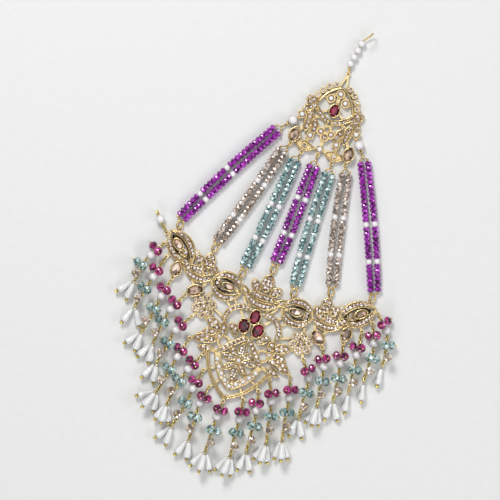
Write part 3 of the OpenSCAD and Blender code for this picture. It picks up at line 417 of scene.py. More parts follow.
def foiled(name, deep_code, main_code, painted_glint_code, size, polish=0.4):
    """Foiled glass: cells of a size in millimetres, painted reflections of the back facets and foil: painted
    shade, body colour and painted highlights.
    """
    material, tree = new_tree(name)
    facets = facet_colours(tree, size, "Red", (0.15, deep_code), (0.6, main_code), (0.98, painted_glint_code))
    skin = node(tree, "ShaderNodeBsdfPrincipled", [("Base Color", facets, "Color")],
                roughness=0.06, ior=1.6, metallic=0.15, coat_weight=polish, coat_roughness=0.03)
    node(tree, "ShaderNodeOutputMaterial", [("Surface", skin, "BSDF")])
    return material


# Ruby glass takes in most light: nearly black, with wine red painted reflections of the foil
ruby_glass = foiled("foiled_ruby_glass", "#38020f", "#70062a", "#9c1246", 1.6, 0.12)
# Smoky champagne glass over foil: pinkish, with facets of brown painted shade and white painted highlights
# beside each other
smoky_glass = foiled("foiled_smoky_glass", "#5a4636", "#dab69c", "#fff2e6", 1.9)
dress(["ruby_crown", "ruby_upper", "ruby_left", "ruby_right"], ruby_glass)
for kind in ("pear_stone_top", "pear_stone", "oval_stone", "marquise_stone", "leaf_stone"):
    dress([kind + "_left", kind + "_right"], smoky_glass)

# Middle, width, length and turn of each large stone, and 1 for a pear
STONES = [
    [0, 4.1, 4.4, 6.2, 0, 0], [-3.3, -1.3, 4.7, 6.0, 12, 0], [3.3, -1.3, 4.7, 6.0, -12, 0],
    [0, 103.5, 3.9, 5.5, 0, 0],
]
PAIRS = [
    [41.0, 11.8, 4.2, 6.2, 0, 1], [29.6, 5.7, 4.3, 6.6, 58, 0], [16.2, 12.6, 2.6, 5.2, -88, 0],
    [44.0, 22.4, 3.0, 5.2, -50, 0], [13.0, 87.4, 4.2, 6.3, 0, 1],
]


def around(stone, grow, angle):
    """Point beside a stone's outline, a distance outside it. A pear narrows towards its tip."""
    x, y, width, length, turn, pear = stone
    a = math.radians(angle)
    taper = 1 - 0.42 * max(0.0, math.sin(a)) ** 1.5 if pear else 1.0
    across, along = (width / 2 + grow) * math.cos(a) * taper, (length / 2 + grow) * math.sin(a)
    t = math.radians(turn)
    return np.array([x + across * math.cos(t) - along * math.sin(t),
                     y + across * math.sin(t) + along * math.cos(t)])


# The burnished edge of a collar, and the foot, bend and tip of a claw: distance from the stone's
# outline and height over the back
bezel_out, bezel_z, bezel_r = 0.4, 2.86, 0.32
bezel_steps = 40
CLAW = [(0.3, 2.7), (0.3, 3.2), (-0.42, 3.42)]
claw_r = 0.22
bezels, claws = [], []
for stone in STONES + PAIRS + [[-p[0], p[1], p[2], p[3], -p[4], p[5]] for p in PAIRS]:
    turns = [360 * k / bezel_steps for k in range(bezel_steps)]
    edge = [lifted(around(stone, bezel_out, angle), bezel_z) for angle in turns]
    bezels.append(wire_along(edge, bezel_r, 8, closed=True))
    for angle in (45, 135, 225, 315):
        claws.append(wire_along([lifted(around(stone, out, angle), z) for out, z in CLAW], claw_r))
piece("bezel_edges", bezels, gold_plate, smooth=True)
piece("claws", claws, gold_plate, smooth=True)


# Pave stones
# Small round cut stones, pinkish champagne white, packed in rows along the leaves and bands and
# in rings on the florets. Each sits in a thin gold cup and is held by four grains.

# Crystal over foil: pale pink stones with white painted highlights beside facets of brown painted shade
pave_glass = foiled("pave_crystal", "#5e4c44", "#dcc8c0", "#ffffff", 0.6)


def brilliant(r):
    """A small round stone seen over its girdle: two rows of crown facets and a table."""
    return turned([(r * 0.96, -0.1), (r, 0.0), (r * 0.76, 0.3 * r), (r * 0.42, 0.46 * r)], 8, offset=0.5)


def cup(r):
    """The thin cup of a stone of radius r, turned in over its girdle."""
    return turned([(r + 0.12, -0.7), (r + 0.12, -0.06), (r - 0.02, 0.04)], 8, offset=0.5)


def cast_surface(name):
    """The cast metal of a plaque, to find where it lies under a point."""
    mesh = bpy.data.objects[name].data
    return BVHTree.FromPolygons([v.co for v in mesh.vertices], [list(f.vertices) for f in mesh.polygons])


castings = [cast_surface("lower_plaque"), cast_surface("top_plaque")]


def metal_height(x, y):
    """Height of the metal under a point in millimetres, 0 over a hole."""
    tops = [cast.ray_cast(Vector((x / 1000, y / 1000, 0.02)), Vector((0, 0, -1)))[0] for cast in castings]
    return max([top.z * 1000 for top in tops if top] + [0.0])


# The metal is measured under a stone's middle and at this share of its radius, and has to lie between
# two heights. Two stones may be as close as this share of the squared distance at which they touch.
seat_share = 0.8
seat_lowest = 1.3
seat_highest = 2.3
closest = 0.84
seats = []


def seat(x, y, r):
    """Adds a stone where there is flat metal under it and no other stone, and says whether it did."""
    tried = ((0, 0), (1, 0), (-1, 0), (0, 1), (0, -1))
    under = [metal_height(x + seat_share * r * i, y + seat_share * r * j) for i, j in tried]
    if min(under) < seat_lowest or max(under) > seat_highest:
        return False
    if any((x - a) ** 2 + (y - b) ** 2 < (r + c) ** 2 * closest for a, b, c in seats):
        return False
    seats.append((x, y, r))
    return True


# The four ovals, the motifs that bow out furthest, hold their stones by prongs too: distance of
# root, knee and tip from a stone's edge, and height
oval_bow = 4
PRONG = [(0.35, 1.3), (0.62, 2.25), (0.1, 2.5)]
prong_r = 0.17
prongs = []
# Distance of two stones side by side, in radii
side_by_side = 2.02


def fill_motif(m, leaf, row=1.4, largest=0.84, apart=2.04):
    """Stones across a leaf or along a band: least width of a row, largest radius, pitch in radii."""
    a, b = ends(m)
    bow, width = m[4:6]
    span = np.linalg.norm(b - a)
    length = span * (1 + (2 * bow / span) ** 2 * 2 / 3)
    # Width of the cast rim, and half the least width inside it that takes a stone
    rim, least_room = 0.5, 0.35
    # Where the first stone starts, what stays free at the tip, and how far ahead the width is taken
    gone, free, ahead = 0.35, 1.0, 0.7
    while gone < length - free:
        t = (gone + ahead) / length
        room = width / 2 * (math.sin(math.pi * t) if leaf else 1) - rim
        if room < least_room:
            gone += 0.2
            continue
        across = max(1, int(2 * room / row))
        r = min(largest, room / across)
        middle = arc_at(a, b, bow, (gone + r) / length)
        out = unit(middle - arc_middle(a, b, bow))
        for j in range(across):
            p = middle + (j - (across - 1) / 2) * side_by_side * r * out
            if seat(p[0], p[1], r) and bow > oval_bow:
                prongs.append(wire_along([lifted(p + (r + past) * out, z) for past, z in PRONG], prong_r))
        gone += apart * r


def on_circle(middle, r, a):
    """Point at an angle in radians on a circle."""
    return middle[0] + r * math.cos(a), middle[1] + r * math.sin(a)


# A floret has six lobes with a ring of five stones each, a ring of six stones and one in the middle:
# its middle, then the radius of each ring and of its stones
FLORET = (23.4, 0.6)
lobes_r = 3.7
lobe_ring_r, lobe_stone_r = 1.15, 0.62
inner_ring_r, inner_stone_r = 1.5, 0.55
middle_stone_r = 0.75
# Single stones of the top plaque: on each side four on its arch and one on its lowest leaf, and one
# in the middle
ARCH_AND_LEAF_STONES = ((3.2, 115.0), (6.0, 113.1), (8.1, 110.5), (9.4, 107.8), (7.1, 84.2))
arch_stone_r = 0.95
TOP_MIDDLE_STONE = (0, 90.8, 0.9)
for side in (-1, 1):
    for k in range(6):
        turn = math.radians(30 + 60 * k)
        lobe = on_circle(FLORET, lobes_r, turn)
        for j in range(5):
            x, y = on_circle(lobe, lobe_ring_r, turn + math.radians(72 * j))
            seat(side * x, y, lobe_stone_r)
        x, y = on_circle(FLORET, inner_ring_r, math.radians(60 * k))
        seat(side * x, y, inner_stone_r)
    seat(side * FLORET[0], FLORET[1], middle_stone_r)
    for x, y in ARCH_AND_LEAF_STONES:
        seat(side * x, y, arch_stone_r)
seat(*TOP_MIDDLE_STONE)

# Middles of the pearls on the right half of the shield. Between each two of them two small stones
# stand across the band.
SHIELD_PEARLS = [(9.25, -19.5), (7.25, -22.5), (5.25, -25.0), (2.75, -27.3), (0, -29.2)]
between_pearls_out = 0.78
between_pearls_r = 0.6
for (x1, y1), (x2, y2) in zip(SHIELD_PEARLS, SHIELD_PEARLS[1:]):
    across = unit([y2 - y1, x1 - x2])
    for side in (-1, 1):
        for out in (-between_pearls_out, between_pearls_out):
            x, y = np.array([(x1 + x2) / 2, (y1 + y2) / 2]) + out * across
            seat(side * x, y, between_pearls_r)

# The leaves of the top plaque and beside the shield have few large stones, the shield's flower small
# ones. Of the bands, the arch round the rubies is packed closest.
leaves = mirrored(LOWER_FRONT) + LOWER_MIDDLE + mirrored(TOP_BACK) + mirrored(LOWER_BACK)
for m in [m for m in leaves if m[6]]:
    on_top_plaque = m[1] > 80
    beside_shield = abs(m[0]) > 10 and m[1] < -5
    in_shield = abs(m[0]) < 2 and m[1] < -15
    if on_top_plaque or beside_shield:
        fill_motif(m, True, row=1.8, largest=0.92, apart=2.4)
    elif in_shield:
        fill_motif(m, True, row=1.1, largest=0.62)
    else:
        fill_motif(m, True)
for m in mirrored([m for m in LOWER_BANDS + TOP_BANDS if m[6]]):
    round_rubies = m[4] > 3
    fill_motif(m, False, row=1.8, largest=0.92, apart=2.0 if round_rubies else 2.5)

stone_z = 2.02
grain_z = 2.12
grain = turned([(0.17, -0.1), (0.16, 0.04), (0.06, 0.16)], 5)
stones, cups = [], []
for x, y, r in seats:
    stones.append(place(brilliant(r), (x, y, stone_z)))
    cups.append(place(cup(r), (x, y, stone_z)))
    for k in range(4):
        cups.append(place(grain, lifted(on_circle((x, y), r, math.radians(45 + 90 * k)), grain_z)))
piece("pave_stones", stones, pave_glass)
piece("pave_cups", cups, gold_plate)
piece("oval_prongs", prongs, gold_plate, smooth=True)


# Pearls of the plaques
# Imitation pearls: balls in white pearl lacquer, glued into cups. The three largest are held by four
# claws each.

def pearl_coat(name, body_code, rim_shade_code):
    """Pearl lacquer: pale body, painted shade that grows towards the rim, faint clouds 0.6 mm apart."""
    material, tree = new_tree(name)
    where = node(tree, "ShaderNodeTexCoord")
    # Painted shade: the colour darkens towards the outline where the surface turns away
    rim = node(tree, "ShaderNodeLayerWeight", blend=0.35)
    tone = node(tree, "ShaderNodeMixRGB", [("Fac", rim, "Facing")],
                color1=linear(body_code), color2=linear(rim_shade_code))
    clouds = node(tree, "ShaderNodeTexNoise", [("Vector", where, "Object")], scale=1000.0 / 0.625, detail=2.0)
    relief = node(tree, "ShaderNodeBump", [("Height", clouds, "Fac")], strength=0.06, distance=0.0001)
    inputs = [("Base Color", tone, "Color"), ("Normal", relief, "Normal")]
    skin = node(tree, "ShaderNodeBsdfPrincipled", inputs, roughness=0.22, ior=1.55, coat_weight=0.8,
                coat_roughness=0.08, subsurface_weight=0.15, subsurface_radius=(0.001, 0.0009, 0.0008))
    node(tree, "ShaderNodeOutputMaterial", [("Surface", skin, "BSDF")])
    return material


# White lacquer with a soft sheen, and pinkish grey shade painted where the ball turns away
pearl = pearl_coat("white_pearl_lacquer", "#f5f2f2", "#a29a9c")
# Middle and diameter of each small pearl in its cup
CUP_PEARLS = [
    [0, 111.5, 2.3], [3.4, 108.3, 2.3], [13.0, 97.0, 2.4], [6.3, 89.4, 2.2], [2.4, 92.8, 1.7],
    [12.0, -9.6, 1.5], [34.9, 21.8, 1.5], [0, -16.8, 2.0],
] + [[x, y, 2.1] for x, y in SHIELD_PEARLS]
cup_pearl_z = 2.1
small_pearls = []
for x, y, d in CUP_PEARLS:
    for side in ((-1, 1) if x else (1,)):
        small_pearls.append(place(round_ball(d / 2, 20), (side * x, y, cup_pearl_z)))
piece("cup_pearls", small_pearls, pearl, smooth=True)

# Middle of each large pearl, its radius, height and sides, then the radius of the circle of its claws
# and the height of their tips
SEATED_PEARLS = [
    [-15.9, 93.0, 2.15, 2.9, 32, 2.0, 3.7],
    [15.9, 93.0, 2.15, 2.9, 32, 2.0, 3.7],
    [0, 85.0, 1.3, 2.2, 28, 1.25, 3.1],
]
large_pearls, grips = [], []
for x, y, r, z, sides, circle_r, tip_z in SEATED_PEARLS:
    large_pearls.append(place(round_ball(r, sides), (x, y, z)))
    for k in range(4):
        a = math.radians(45 + 90 * k)
        bends = ((0.1, 1.2), (0.2, 2.6), (-0.25, tip_z))
        path = [lifted(on_circle((x, y), circle_r + out, a), height) for out, height in bends]
        grips.append(wire_along(path, claw_r))
seated_nodes = ["side_pearl_left", "side_pearl_right", "claw_pearl"]
piece("seated_pearls", large_pearls, pearl, seated_nodes, smooth=True)
piece("pearl_claws", grips, gold_plate, smooth=True)


# Hook string
# Thin gold-plated brass wire through four pearls, hooked at its upper end, with a small gold bead
# at the plaque's bail.

# Drawn wire: a yellower gold than that of the castings
# Its last colour is the brown shade painted into its hollows
gold_wire = metal("yellow_gold_wire", "#f4d896", "#cca65c", "#7c5a24", 0.26)
dress(["hair_hook"], gold_wire)
hook_pearl_r = 1.65
lowest, highest = np.array([-0.9, 125.9, 1.85]), np.array([0.7, 136.1, 1.85])
string = highest - lowest
hook_pearls = [place(round_ball(hook_pearl_r, 32), lowest + k / 3 * string, string) for k in range(4)]
piece("hook_string_pearls", hook_pearls, pearl, ["hook_pearls"], smooth=True)


# Strands
# Seven double strings of faceted glass rondelles on nylon thread, each string with two pearls,
# in purple, champagne and pale aqua glass.

# x and y of the upper end and of the lower end, bow to the left, where the pearls sit, glass, side
STRANDS = [
    [-21.0, 86.6, -47.0, 33.9, -0.8, 0.45, 0.74, "purple", "left"],
    [-15.3, 79.0, -27.9, 30.0, 0.6, 0.35, 0.71, "champagne", "left"],
    [-8.6, 76.6, -12.4, 23.8, 0.5, 0.38, 0.70, "aqua", "left"],
    [0.2, 77.4, 0.0, 30.4, 0.2, 0.32, 0.68, "purple", "centre"],
    [7.8, 76.6, 11.8, 23.8, -0.5, 0.38, 0.70, "aqua", "right"],
    [14.9, 79.0, 27.2, 30.0, -0.6, 0.36, 0.71, "champagne", "right"],
    [20.7, 87.0, 46.0, 33.9, 0.6, 0.45, 0.74, "purple", "right"],
]
# Distance between two strings at their ends, how much further out each runs at its middle, height
strings_apart = 3.4
swell = 0.25
string_z = 1.65


def string_point(s, side, t):
    """Point at t from 0 to 1 on one of a strand's two strings, which part a little at the middle."""
    a, b = ends(s)
    p = arc_at(a, b, s[4], t)
    out = strings_apart / 2 + swell * math.sin(math.pi * t)
    return lifted(p + side * out * unit(p - arc_middle(a, b, s[4])), string_z)


def cut_bead(d, t, sides=10):
    """A faceted rondelle: two rows of triangular facets on each side of its widest edge."""
    r = d / 2
    points, faces = [], []
    rings = [
        (0.5 * r, -t / 2, 0.0), (0.86 * r, -0.3 * t, 0.5), (r, 0.0, 0.0), (0.86 * r, 0.3 * t, 0.5),
        (0.5 * r, t / 2, 0.0),
    ]
    for radius, z, turn in rings:
        for i in range(sides):
            a = 2 * math.pi * (i + turn) / sides
            points.append((radius * math.cos(a), radius * math.sin(a), z))
    for k in range(len(rings) - 1):
        for i in range(sides):
            j = (i + 1) % sides
            low, high = k * sides, (k + 1) * sides
            if k % 2 == 0:
                faces += [(low + i, low + j, high + i), (low + j, high + j, high + i)]
            else:
                faces += [(low + i, low + j, high + j), (low + i, high + j, high + i)]
    return np.array(points), faces + end_caps(len(rings), sides)


def bead_glass(name, deep_code, main_code, painted_glint_code, size, lustre):
    """Cut bead glass: cells as wide as a facet, painted from the shade behind to the highlight in front."""
    material, tree = new_tree(name)
    facets = facet_colours(tree, size, "Green", (0.1, deep_code), (0.55, main_code), (0.97, painted_glint_code))
    skin = node(tree, "ShaderNodeBsdfPrincipled", [("Base Color", facets, "Color")],
                roughness=0.07, ior=1.55, metallic=lustre, coat_weight=1.0, coat_roughness=0.04)
    node(tree, "ShaderNodeOutputMaterial", [("Surface", skin, "BSDF")])
    return material


# Purple glass is clear and deep, the champagne and aqua ones have a silvery lustre that pales them
glasses = {
    "purple": bead_glass("purple_cut_glass", "#3c0244", "#960c9c", "#d04cdc", 0.9, 0.1),
    "champagne": bead_glass("champagne_lustre_glass", "#74645a", "#b8a290", "#fbf2ea", 0.9, 0.25),
    "aqua": bead_glass("aqua_lustre_glass", "#3c5f60", "#8cb2b2", "#eafaf6", 0.9, 0.2),
}
strand_bead_d = 3.25
strand_bead_t = 2.1
bead_pitch = 2.12
strand_pearl_r = 1.5
thread_r = 0.25
# How far a bead may lean on its thread, as a slope
most_lean = 0.14
string_steps = 60
threads = []
leans = random.Random(7)
for s in STRANDS:
    beads, pearls = [], []
    for side in (-1, 1):
        path = [string_point(s, side, k / string_steps) for k in range(string_steps + 1)]
        threads.append(wire_along(path[::4], thread_r))
        length = sum(np.linalg.norm(b - a) for a, b in zip(path, path[1:]))
        count = round(length / bead_pitch)
        at_pearl = [round(t * count) for t in s[5:7]]
        for k in range(count):
            t = (k + 0.5) / count
            axis = string_point(s, side, t + 0.01) - string_point(s, side, t - 0.01)
            if k in at_pearl:
                pearls.append(place(round_ball(strand_pearl_r, 24), string_point(s, side, t), axis))
            else:
                lean = np.array([leans.uniform(-most_lean, most_lean) for _ in range(3)])
                bead = cut_bead(strand_bead_d, strand_bead_t)
                beads.append(place(bead, string_point(s, side, t), unit(axis) + lean))
    glass = s[7]
    name = "strand_" + glass + "_" + s[8]
    piece(name + "_beads", beads, glasses[glass], [name])
    piece(name + "_pearls", pearls, pearl, smooth=True)
# White thread, as glossy as the pearls
piece("strand_threads", threads, pearl, smooth=True)


# Links of the strands
# Gold-plated brass wire: a loop with a soldered fork holds the upper ends of a strand's two strings
# in crimps, and an oval ring with such a fork ties the lower ends to the lower plaque.

def ring_loop(middle, along, across, half_long, half_wide, r, steps=14):
    """An oval link of round wire in the plane of two directions."""
    path = []
    for k in range(steps):
        a = 2 * math.pi * k / steps
        path.append(middle + half_long * math.cos(a) * along + half_wide * math.sin(a) * across)
    return wire_along(path, r, 6, closed=True)


# A crimp's radius and distance from the end of its string
CRIMP = [(0.3, 0.1), (0.5, 0.2), (0.42, 0.6), (0.5, 1.0), (0.3, 1.12)]
crimp_middle = 0.85
fork_wire_r = 0.26


def forked(s, t, fork, r):
    """A soldered fork and the wires from it to the crimps of both strings."""
    made = [place(round_ball(r, 14), fork)]
    for side in (-1, 1):
        end = string_point(s, side, t)
        out = unit(end - string_point(s, side, abs(t - 0.05)))
        made.append(place(turned(CRIMP, 12), end, out))
        made.append(wire_along([end + crimp_middle * out, fork], fork_wire_r, 8))
    return made


# The top plaque's eye and the lower plaque's loop of each strand
EYES_AND_LOOPS = [
    [-17.3, 91.2, -46.3, 29.0], [-13.3, 82.7, -28.2, 25.0], [-7.2, 81.0, -12.5, 18.7], [0, 82.4, 0, 25.4],
    [7.2, 81.0, 12.5, 18.7], [13.3, 82.7, 28.2, 25.0], [17.3, 91.2, 46.3, 29.0],
]
# The loop through an eye: its height, radius, distance from the eye, and wire
loop_z = 1.2
loop_r = 0.85
loop_out = 0.8
link_loop_wire_r = 0.3
# The stem from the loop to the fork, how far the fork stands from the strand, and its solder
stem_start = 1.65
stem_r = 0.42
fork_out = 2.2
link_fork_r = 0.52
# The oval ring: its height, the distance of its middle from the foot, half its straight side, the
# radius of its ends, its wire, and the solder of its fork
ring_z = 1.3
ring_middle = 1.85
ring_half_straight = 0.6
ring_end_r = 1.25
ring_wire_r = 0.38
ring_steps = 32
ring_fork_r = 0.45
links, rings = [], []
for s, eye_and_foot in zip(STRANDS, EYES_AND_LOOPS):
    upper, lower = ends(s)
    eye, foot = ends(eye_and_foot)
    v = unit(upper - eye)
    fork = lifted(upper - fork_out * v, string_z)
    loop_middle = lifted(eye + loop_out * v, loop_z)
    links.append(ring_loop(loop_middle, lifted(v, 0), up, loop_r, loop_r, link_loop_wire_r, 20))
    links.append(wire_along([lifted(eye + stem_start * v, loop_z), fork], stem_r, 10))
    links += forked(s, 0, fork, link_fork_r)
    v = unit(lower - foot)
    across = np.array([-v[1], v[0]])
    oval = []
    for k in range(ring_steps):
        a = 2 * math.pi * k / ring_steps
        reach = ring_end_r * math.cos(a) + math.copysign(ring_half_straight, math.cos(a))
        oval.append(lifted(foot + (ring_middle + reach) * v + ring_end_r * math.sin(a) * across, ring_z))
    rings.append(wire_along(oval, ring_wire_r, 10, closed=True))
    rings += forked(s, 1, lifted(foot + 2 * ring_middle * v, ring_z), ring_fork_r)
piece("forked_links", links, gold_wire, ["strand_links"], smooth=True)
piece("oval_rings", rings, gold_wire, ["strand_rings"], smooth=True)


# Fringe
# Twenty-one drops on gold-plated cable chain: a pearl, two beads of magenta glass, two of pale
# aqua, a champagne one, each on a head pin with a ball tip, and ribbed teardrop pearls at the end.

# Clear and deep like the purple glass, with painted pink highlights
glasses["magenta"] = bead_glass("magenta_cut_glass", "#340228", "#90065e", "#dc4ca4", 1.1, 0.1)
# Thin chain: a greener gold than that of the castings
# Its last colour is the brown shade painted into its hollows
olive_gold = metal("olive_gold_chain", "#f8e8a0", "#d2b864", "#9a8034", 0.26)

# As in the part: x and y of the eye, pearl, first cluster, second cluster and end ring, then each
# teardrop's angle from straight down, and the side of the lower magenta bead
DROPS = [
    [-51.0, 25.4, -55.6, 30.0, -58.2, 32.6, -58.2, 32.6, -58.2, 32.6, [], 1],
    [-50.4, 20.4, -53.9, 13.4, -56.2, 8.0, -56.0, 3.6, -56.4, 0.6, [-38, -4], 1],
    [-47.2, 15.2, -49.4, 4.6, -50.6, -1.6, -51.4, -6.8, -52.3, -10.2, [-18, 32], 1],
    [-41.2, 7.2, -42.9, -2.3, -43.4, -8.6, -44.3, -15.0, -45.2, -19.6, [-34, 0], 1],
    [-33.2, 2.1, -36.9, -6.3, -37.8, -12.5, -38.4, -18.3, -38.8, -22.6, [-26, 8], 1],
    [-26.9, -5.9, -31.3, -14.1, -32.0, -20.6, -33.0, -26.0, -34.0, -30.4, [-24, 10], 1],
    [-24.2, -15.2, -26.4, -25.1, -27.2, -31.4, -28.2, -37.2, -29.2, -42.2, [-54, -22, 8], 1],
    [-16.0, -19.6, -19.9, -28.6, -21.2, -34.6, -22.4, -40.4, -23.2, -45.4, [-14, 4, 22], 1],
    [-13.3, -26.4, -14.6, -36.1, -15.0, -42.8, -16.0, -49.0, -17.4, -54.2, [-32, 2], 1],
    [-8.2, -32.6, -9.4, -41.1, -8.8, -47.4, -8.4, -52.8, -8.2, -57.2, [-20, 14], -1],
    [0, -36.5, -0.2, -43.9, 0.2, -49.9, 0.3, -55.4, 0.6, -59.6, [-23, 4, 32], 1],
    [8.2, -32.6, 9.8, -41.4, 10.1, -47.4, 11.0, -53.2, 11.8, -57.4, [-24, -2, 20], 1],
    [13.3, -26.4, 15.6, -35.1, 16.6, -41.7, 17.2, -48.0, 17.8, -53.2, [-4, 30], -1],
    [16.0, -19.6, 20.2, -28.8, 22.0, -35.0, 23.2, -41.0, 24.8, -46.2, [-16, 3, 22], 1],
    [24.2, -15.2, 27.2, -24.3, 28.2, -30.8, 29.6, -36.8, 30.8, -42.4, [0, 18, 36], 1],
    [26.9, -5.9, 32.1, -13.0, 33.0, -19.4, 33.8, -25.5, 34.4, -30.6, [-6, 28], 1],
    [33.2, 2.1, 36.8, -5.7, 37.8, -12.0, 39.0, -17.8, 40.1, -22.3, [-12, 6, 24], -1],
    [41.2, 7.2, 43.4, -1.8, 44.3, -8.2, 45.6, -13.8, 46.0, -17.8, [-2, 32], -1],
    [47.2, 15.2, 48.8, 4.4, 49.6, -2.0, 50.6, -7.4, 51.2, -12.0, [10], -1],
    [50.4, 20.4, 54.2, 12.2, 55.2, 5.8, 55.6, 0.2, 55.8, -5.0, [14], -1],
    [51.0, 25.4, 57.2, 19.4, 59.6, 13.6, 60.9, 8.4, 61.2, 4.6, [6], 1]
]
DROP_GROUPS = {"left": DROPS[0:7], "centre": DROPS[7:14], "right": DROPS[14:21]}
drop_z = 2.15
# Distance along a drop from its eye to its chain, and from the middle of its pearl to the chains
chain_start = 1.75
pearl_to_chain = 2.3
# A cluster's bead over the chain and the one beside it: angle of the pin and distance from the chain
upper_rise, upper_out = 74, 4.1
lower_rise, lower_out = 16, 2.6
# How far above the pearl's wire the magenta beads hang
magenta_back = 1.4
# A drop whose end ring is nearer than this to its first cluster is a short one
short = 1


def stations(d):
    """Eye, pearl, first cluster, second cluster and end ring of a drop, seen from above."""
    return [np.array(d[k:k + 2], float) for k in (0, 2, 4, 6, 8)]


# Distance, half length and width, and wire of the chain's links
link_pitch = 1.4
link_half_l, link_half_w, link_wire_r = 1.0, 0.64, 0.27


def chain_links(a, b):
    """Cable chain from a to b: oval links, each turned a quarter from the last."""
    v = unit(b - a)
    side = unit(np.cross(v, up))
    count = max(1, round(np.linalg.norm(b - a) / link_pitch))
    links = []
    for k in range(count):
        across = (side + np.cross(side, v) * (1 if k % 2 else -1)) / math.sqrt(2)
        middle = a + (k + 0.5) / count * (b - a)
        links.append(ring_loop(middle, v, across, link_half_l, link_half_w, link_wire_r))
    return links


def pin_direction(d, u, side, rise):
    """Direction of a head pin that rises by an angle to one side of a chain running along u."""
    outer = np.array([-u[1], u[0]])
    if outer[0] * (-1 if d[0] < 0 else 1) < 0:
        outer = -outer
    r = math.radians(rise)
    return np.array([side * outer[0] * math.cos(r), side * outer[1] * math.cos(r), math.sin(r)])


def hangings(d):
    """Glass, station, direction and distance from the chain of each bead of a drop. A short drop has
    none."""
    eye, pearl_at, first, second, end = stations(d)
    if np.linalg.norm(end - first) < short:
        return []
    top = lifted(eye + chain_start * unit(pearl_at - eye), loop_z)
    inlet = lifted(pearl_at - pearl_to_chain * unit(first - eye), drop_z)
    fall = unit(inlet - top)
    magenta_at = inlet - magenta_back * fall
    found = []
    for glass, station, u, side, rise in (
        ("magenta", magenta_at, unit(fall[:2]), d[11], lower_rise),
        ("magenta", magenta_at, unit(fall[:2]), -d[11], upper_rise),
        ("aqua", lifted(first, drop_z), unit(second - pearl_at), 1, lower_rise),
        ("aqua", lifted(first, drop_z), unit(second - pearl_at), -1, upper_rise),
        ("champagne", lifted(second, drop_z), unit(end - first), 1, upper_rise),
    ):
        out = upper_out if rise == upper_rise else lower_out
        found.append((glass, station, pin_direction(d, u, side, rise), out))
    return found


# Heights of the top and of the widest part of each teardrop, where a drop has up to two or three
TEAR_TWO = [(1.1, 1.95), (3.3, 1.95)]
TEAR_THREE = [(1.1, 1.95), (5.4, 5.2), (3.3, 1.95)]
# A teardrop's length, the share of it at which it is widest, the distance of its wire's bend from
# the end ring, and that of its top from the bend
tear_l = 7.4
tear_widest = 0.8
tear_reach = 1.6
tear_start = 0.35


def teardrop_axes(d):
    """Top and direction of each teardrop of a drop."""
    found = []
    for angle, (top_z, wide_z) in zip(d[10], TEAR_THREE if len(d[10]) > 2 else TEAR_TWO):
        way = np.array([math.sin(math.radians(angle)), -math.cos(math.radians(angle))])
        top = lifted(stations(d)[4] + tear_reach * way, top_z)
        found.append((top, unit(lifted((tear_start + tear_widest * tear_l) * way, wide_z - top_z))))
    return found


# Radius and height of a teardrop's outline, and the ribs round it
TEAR_OUTLINE = [
    (0.5, 0.02), (0.8, 0.06), (0.98, 0.35), (1.12, 1.0), (1.3, 2.0), (1.48, 3.2), (1.68, 4.4), (1.84, 5.3),
    (1.9, 5.9), (1.82, 6.5), (1.6, 6.95), (1.2, 7.25), (0.7, 7.38),
]
RIBS = [1.0, 0.96, 0.86, 0.96]
rib_count = 9
# Radius and height of the turned parts: cap of a round pearl, cap over a bead, and the cap and the
# ball tip under a teardrop
PEARL_CAP = [(0.3, 1.72), (0.95, 1.74), (1.0, 1.84), (0.55, 2.1), (0.34, 2.3)]
BEAD_CAP = [(0.25, -1.6), (0.8, -1.5), (0.62, -1.42)]
TEAR_CAP = [(0.3, -0.1), (0.95, 0.0), (0.7, 0.12)]
TEAR_TIP = [(0.4, -0.72), (0.7, -0.66), (0.82, -0.3), (0.84, 0.1), (0.7, 0.4), (0.4, 0.58), (0.1, 0.63)]
tip_gap = 0.87
# Off-white lacquer, with grey shade painted where a rib turns away
ribbed_pearl = pearl_coat("ribbed_pearl_lacquer", "#f1f1ef", "#a09fa4")

fringe_pearl_r = 2.04
fringe_bead_d = 4.16
fringe_bead_t = 2.86
# Wire of the loop in a plaque's eye, wire through the pearl, and the ball that joins the teardrops
eye_wire_r = 0.26
pearl_wire_half = 2.5
pearl_wire_r = 0.25
end_ball_r = 0.74
# A head pin: its loop on the chain, its shank from there past the bead, and its ball
pin_loop_r = 0.66
pin_loop_wire_r = 0.22
pin_start = 0.6
pin_past = 1.9
pin_r = 0.24
pin_ball_past = 1.99
pin_ball_r = 0.4
# A teardrop's wire, and where its cap sits on it
tear_wire_l = 8.4
tear_wire_r = 0.22
tear_cap_at = 7.8

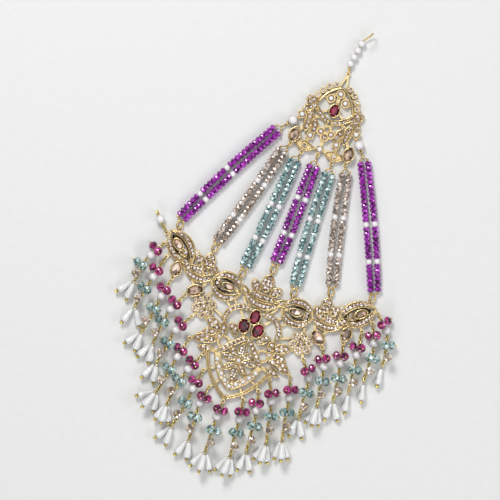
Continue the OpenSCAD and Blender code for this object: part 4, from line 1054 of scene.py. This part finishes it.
for group, rows in DROP_GROUPS.items():
    metal_parts, round_pearls, tears = [], [], []
    beads = {"magenta": [], "aqua": [], "champagne": []}
    for d in rows:
        eye, pearl_at, first, second, end = stations(d)
        v = unit(pearl_at - eye)
        axis = unit(lifted(first - eye, 0))
        middle = lifted(pearl_at, drop_z)
        first, second, end = (lifted(p, drop_z) for p in (first, second, end))
        loop_middle = lifted(eye + loop_out * v, loop_z)
        metal_parts.append(ring_loop(loop_middle, lifted(v, 0), up, loop_r, loop_r, eye_wire_r, 20))
        metal_parts += chain_links(lifted(eye + chain_start * v, loop_z), middle - pearl_to_chain * axis)
        pearl_wire = [middle - pearl_wire_half * axis, middle + pearl_wire_half * axis]
        metal_parts.append(wire_along(pearl_wire, pearl_wire_r))
        for side in (-1, 1):
            metal_parts.append(place(turned(PEARL_CAP, 12), middle, side * axis))
        round_pearls.append(place(round_ball(fringe_pearl_r, 32), middle, axis))
        metal_parts += chain_links(middle + pearl_to_chain * axis, first)
        if hangings(d):
            metal_parts += chain_links(first, second)
            metal_parts += chain_links(second, end)
        metal_parts.append(place(round_ball(end_ball_r, 14), end))
        for glass, station, way, out in hangings(d):
            bead_at = station + out * way
            side = unit(np.cross(way, up))
            beads[glass].append(place(cut_bead(fringe_bead_d, fringe_bead_t, 12), bead_at, way))
            metal_parts.append(ring_loop(station, way, side, pin_loop_r, pin_loop_r, pin_loop_wire_r, 12))
            pin = [station + pin_start * way, station + (out + pin_past) * way]
            metal_parts.append(wire_along(pin, pin_r))
            metal_parts.append(place(round_ball(pin_ball_r, 10), station + (out + pin_ball_past) * way, way))
            metal_parts.append(place(turned(BEAD_CAP, 10), bead_at, way))
        for top, way in teardrop_axes(d):
            metal_parts.append(wire_along([end, top, top + tear_wire_l * way], tear_wire_r))
            tear = turned(TEAR_OUTLINE, len(RIBS) * rib_count, RIBS)
            tears.append(place(tear, top + tear_start * way, way))
            metal_parts.append(place(turned(TEAR_TIP, 12), top + (tear_start + tear_l + tip_gap) * way, way))
            metal_parts.append(place(turned(TEAR_CAP, 12), top + tear_cap_at * way, way))
    drop_node = "drop_wires_" + group
    piece("chains_and_pins_" + group, metal_parts, olive_gold, [drop_node], smooth=True)
    piece("fringe_pearls_" + group, round_pearls, pearl, ["drop_pearls_" + group], smooth=True)
    for glass, strung in beads.items():
        replaced = [glass + "_beads_" + group]
        piece("fringe_" + glass + "_" + group, strung, glasses[glass], replaced)
    tear_node = "teardrops_" + group
    piece("ribbed_teardrops_" + group, tears, ribbed_pearl, [tear_node], smooth=True)
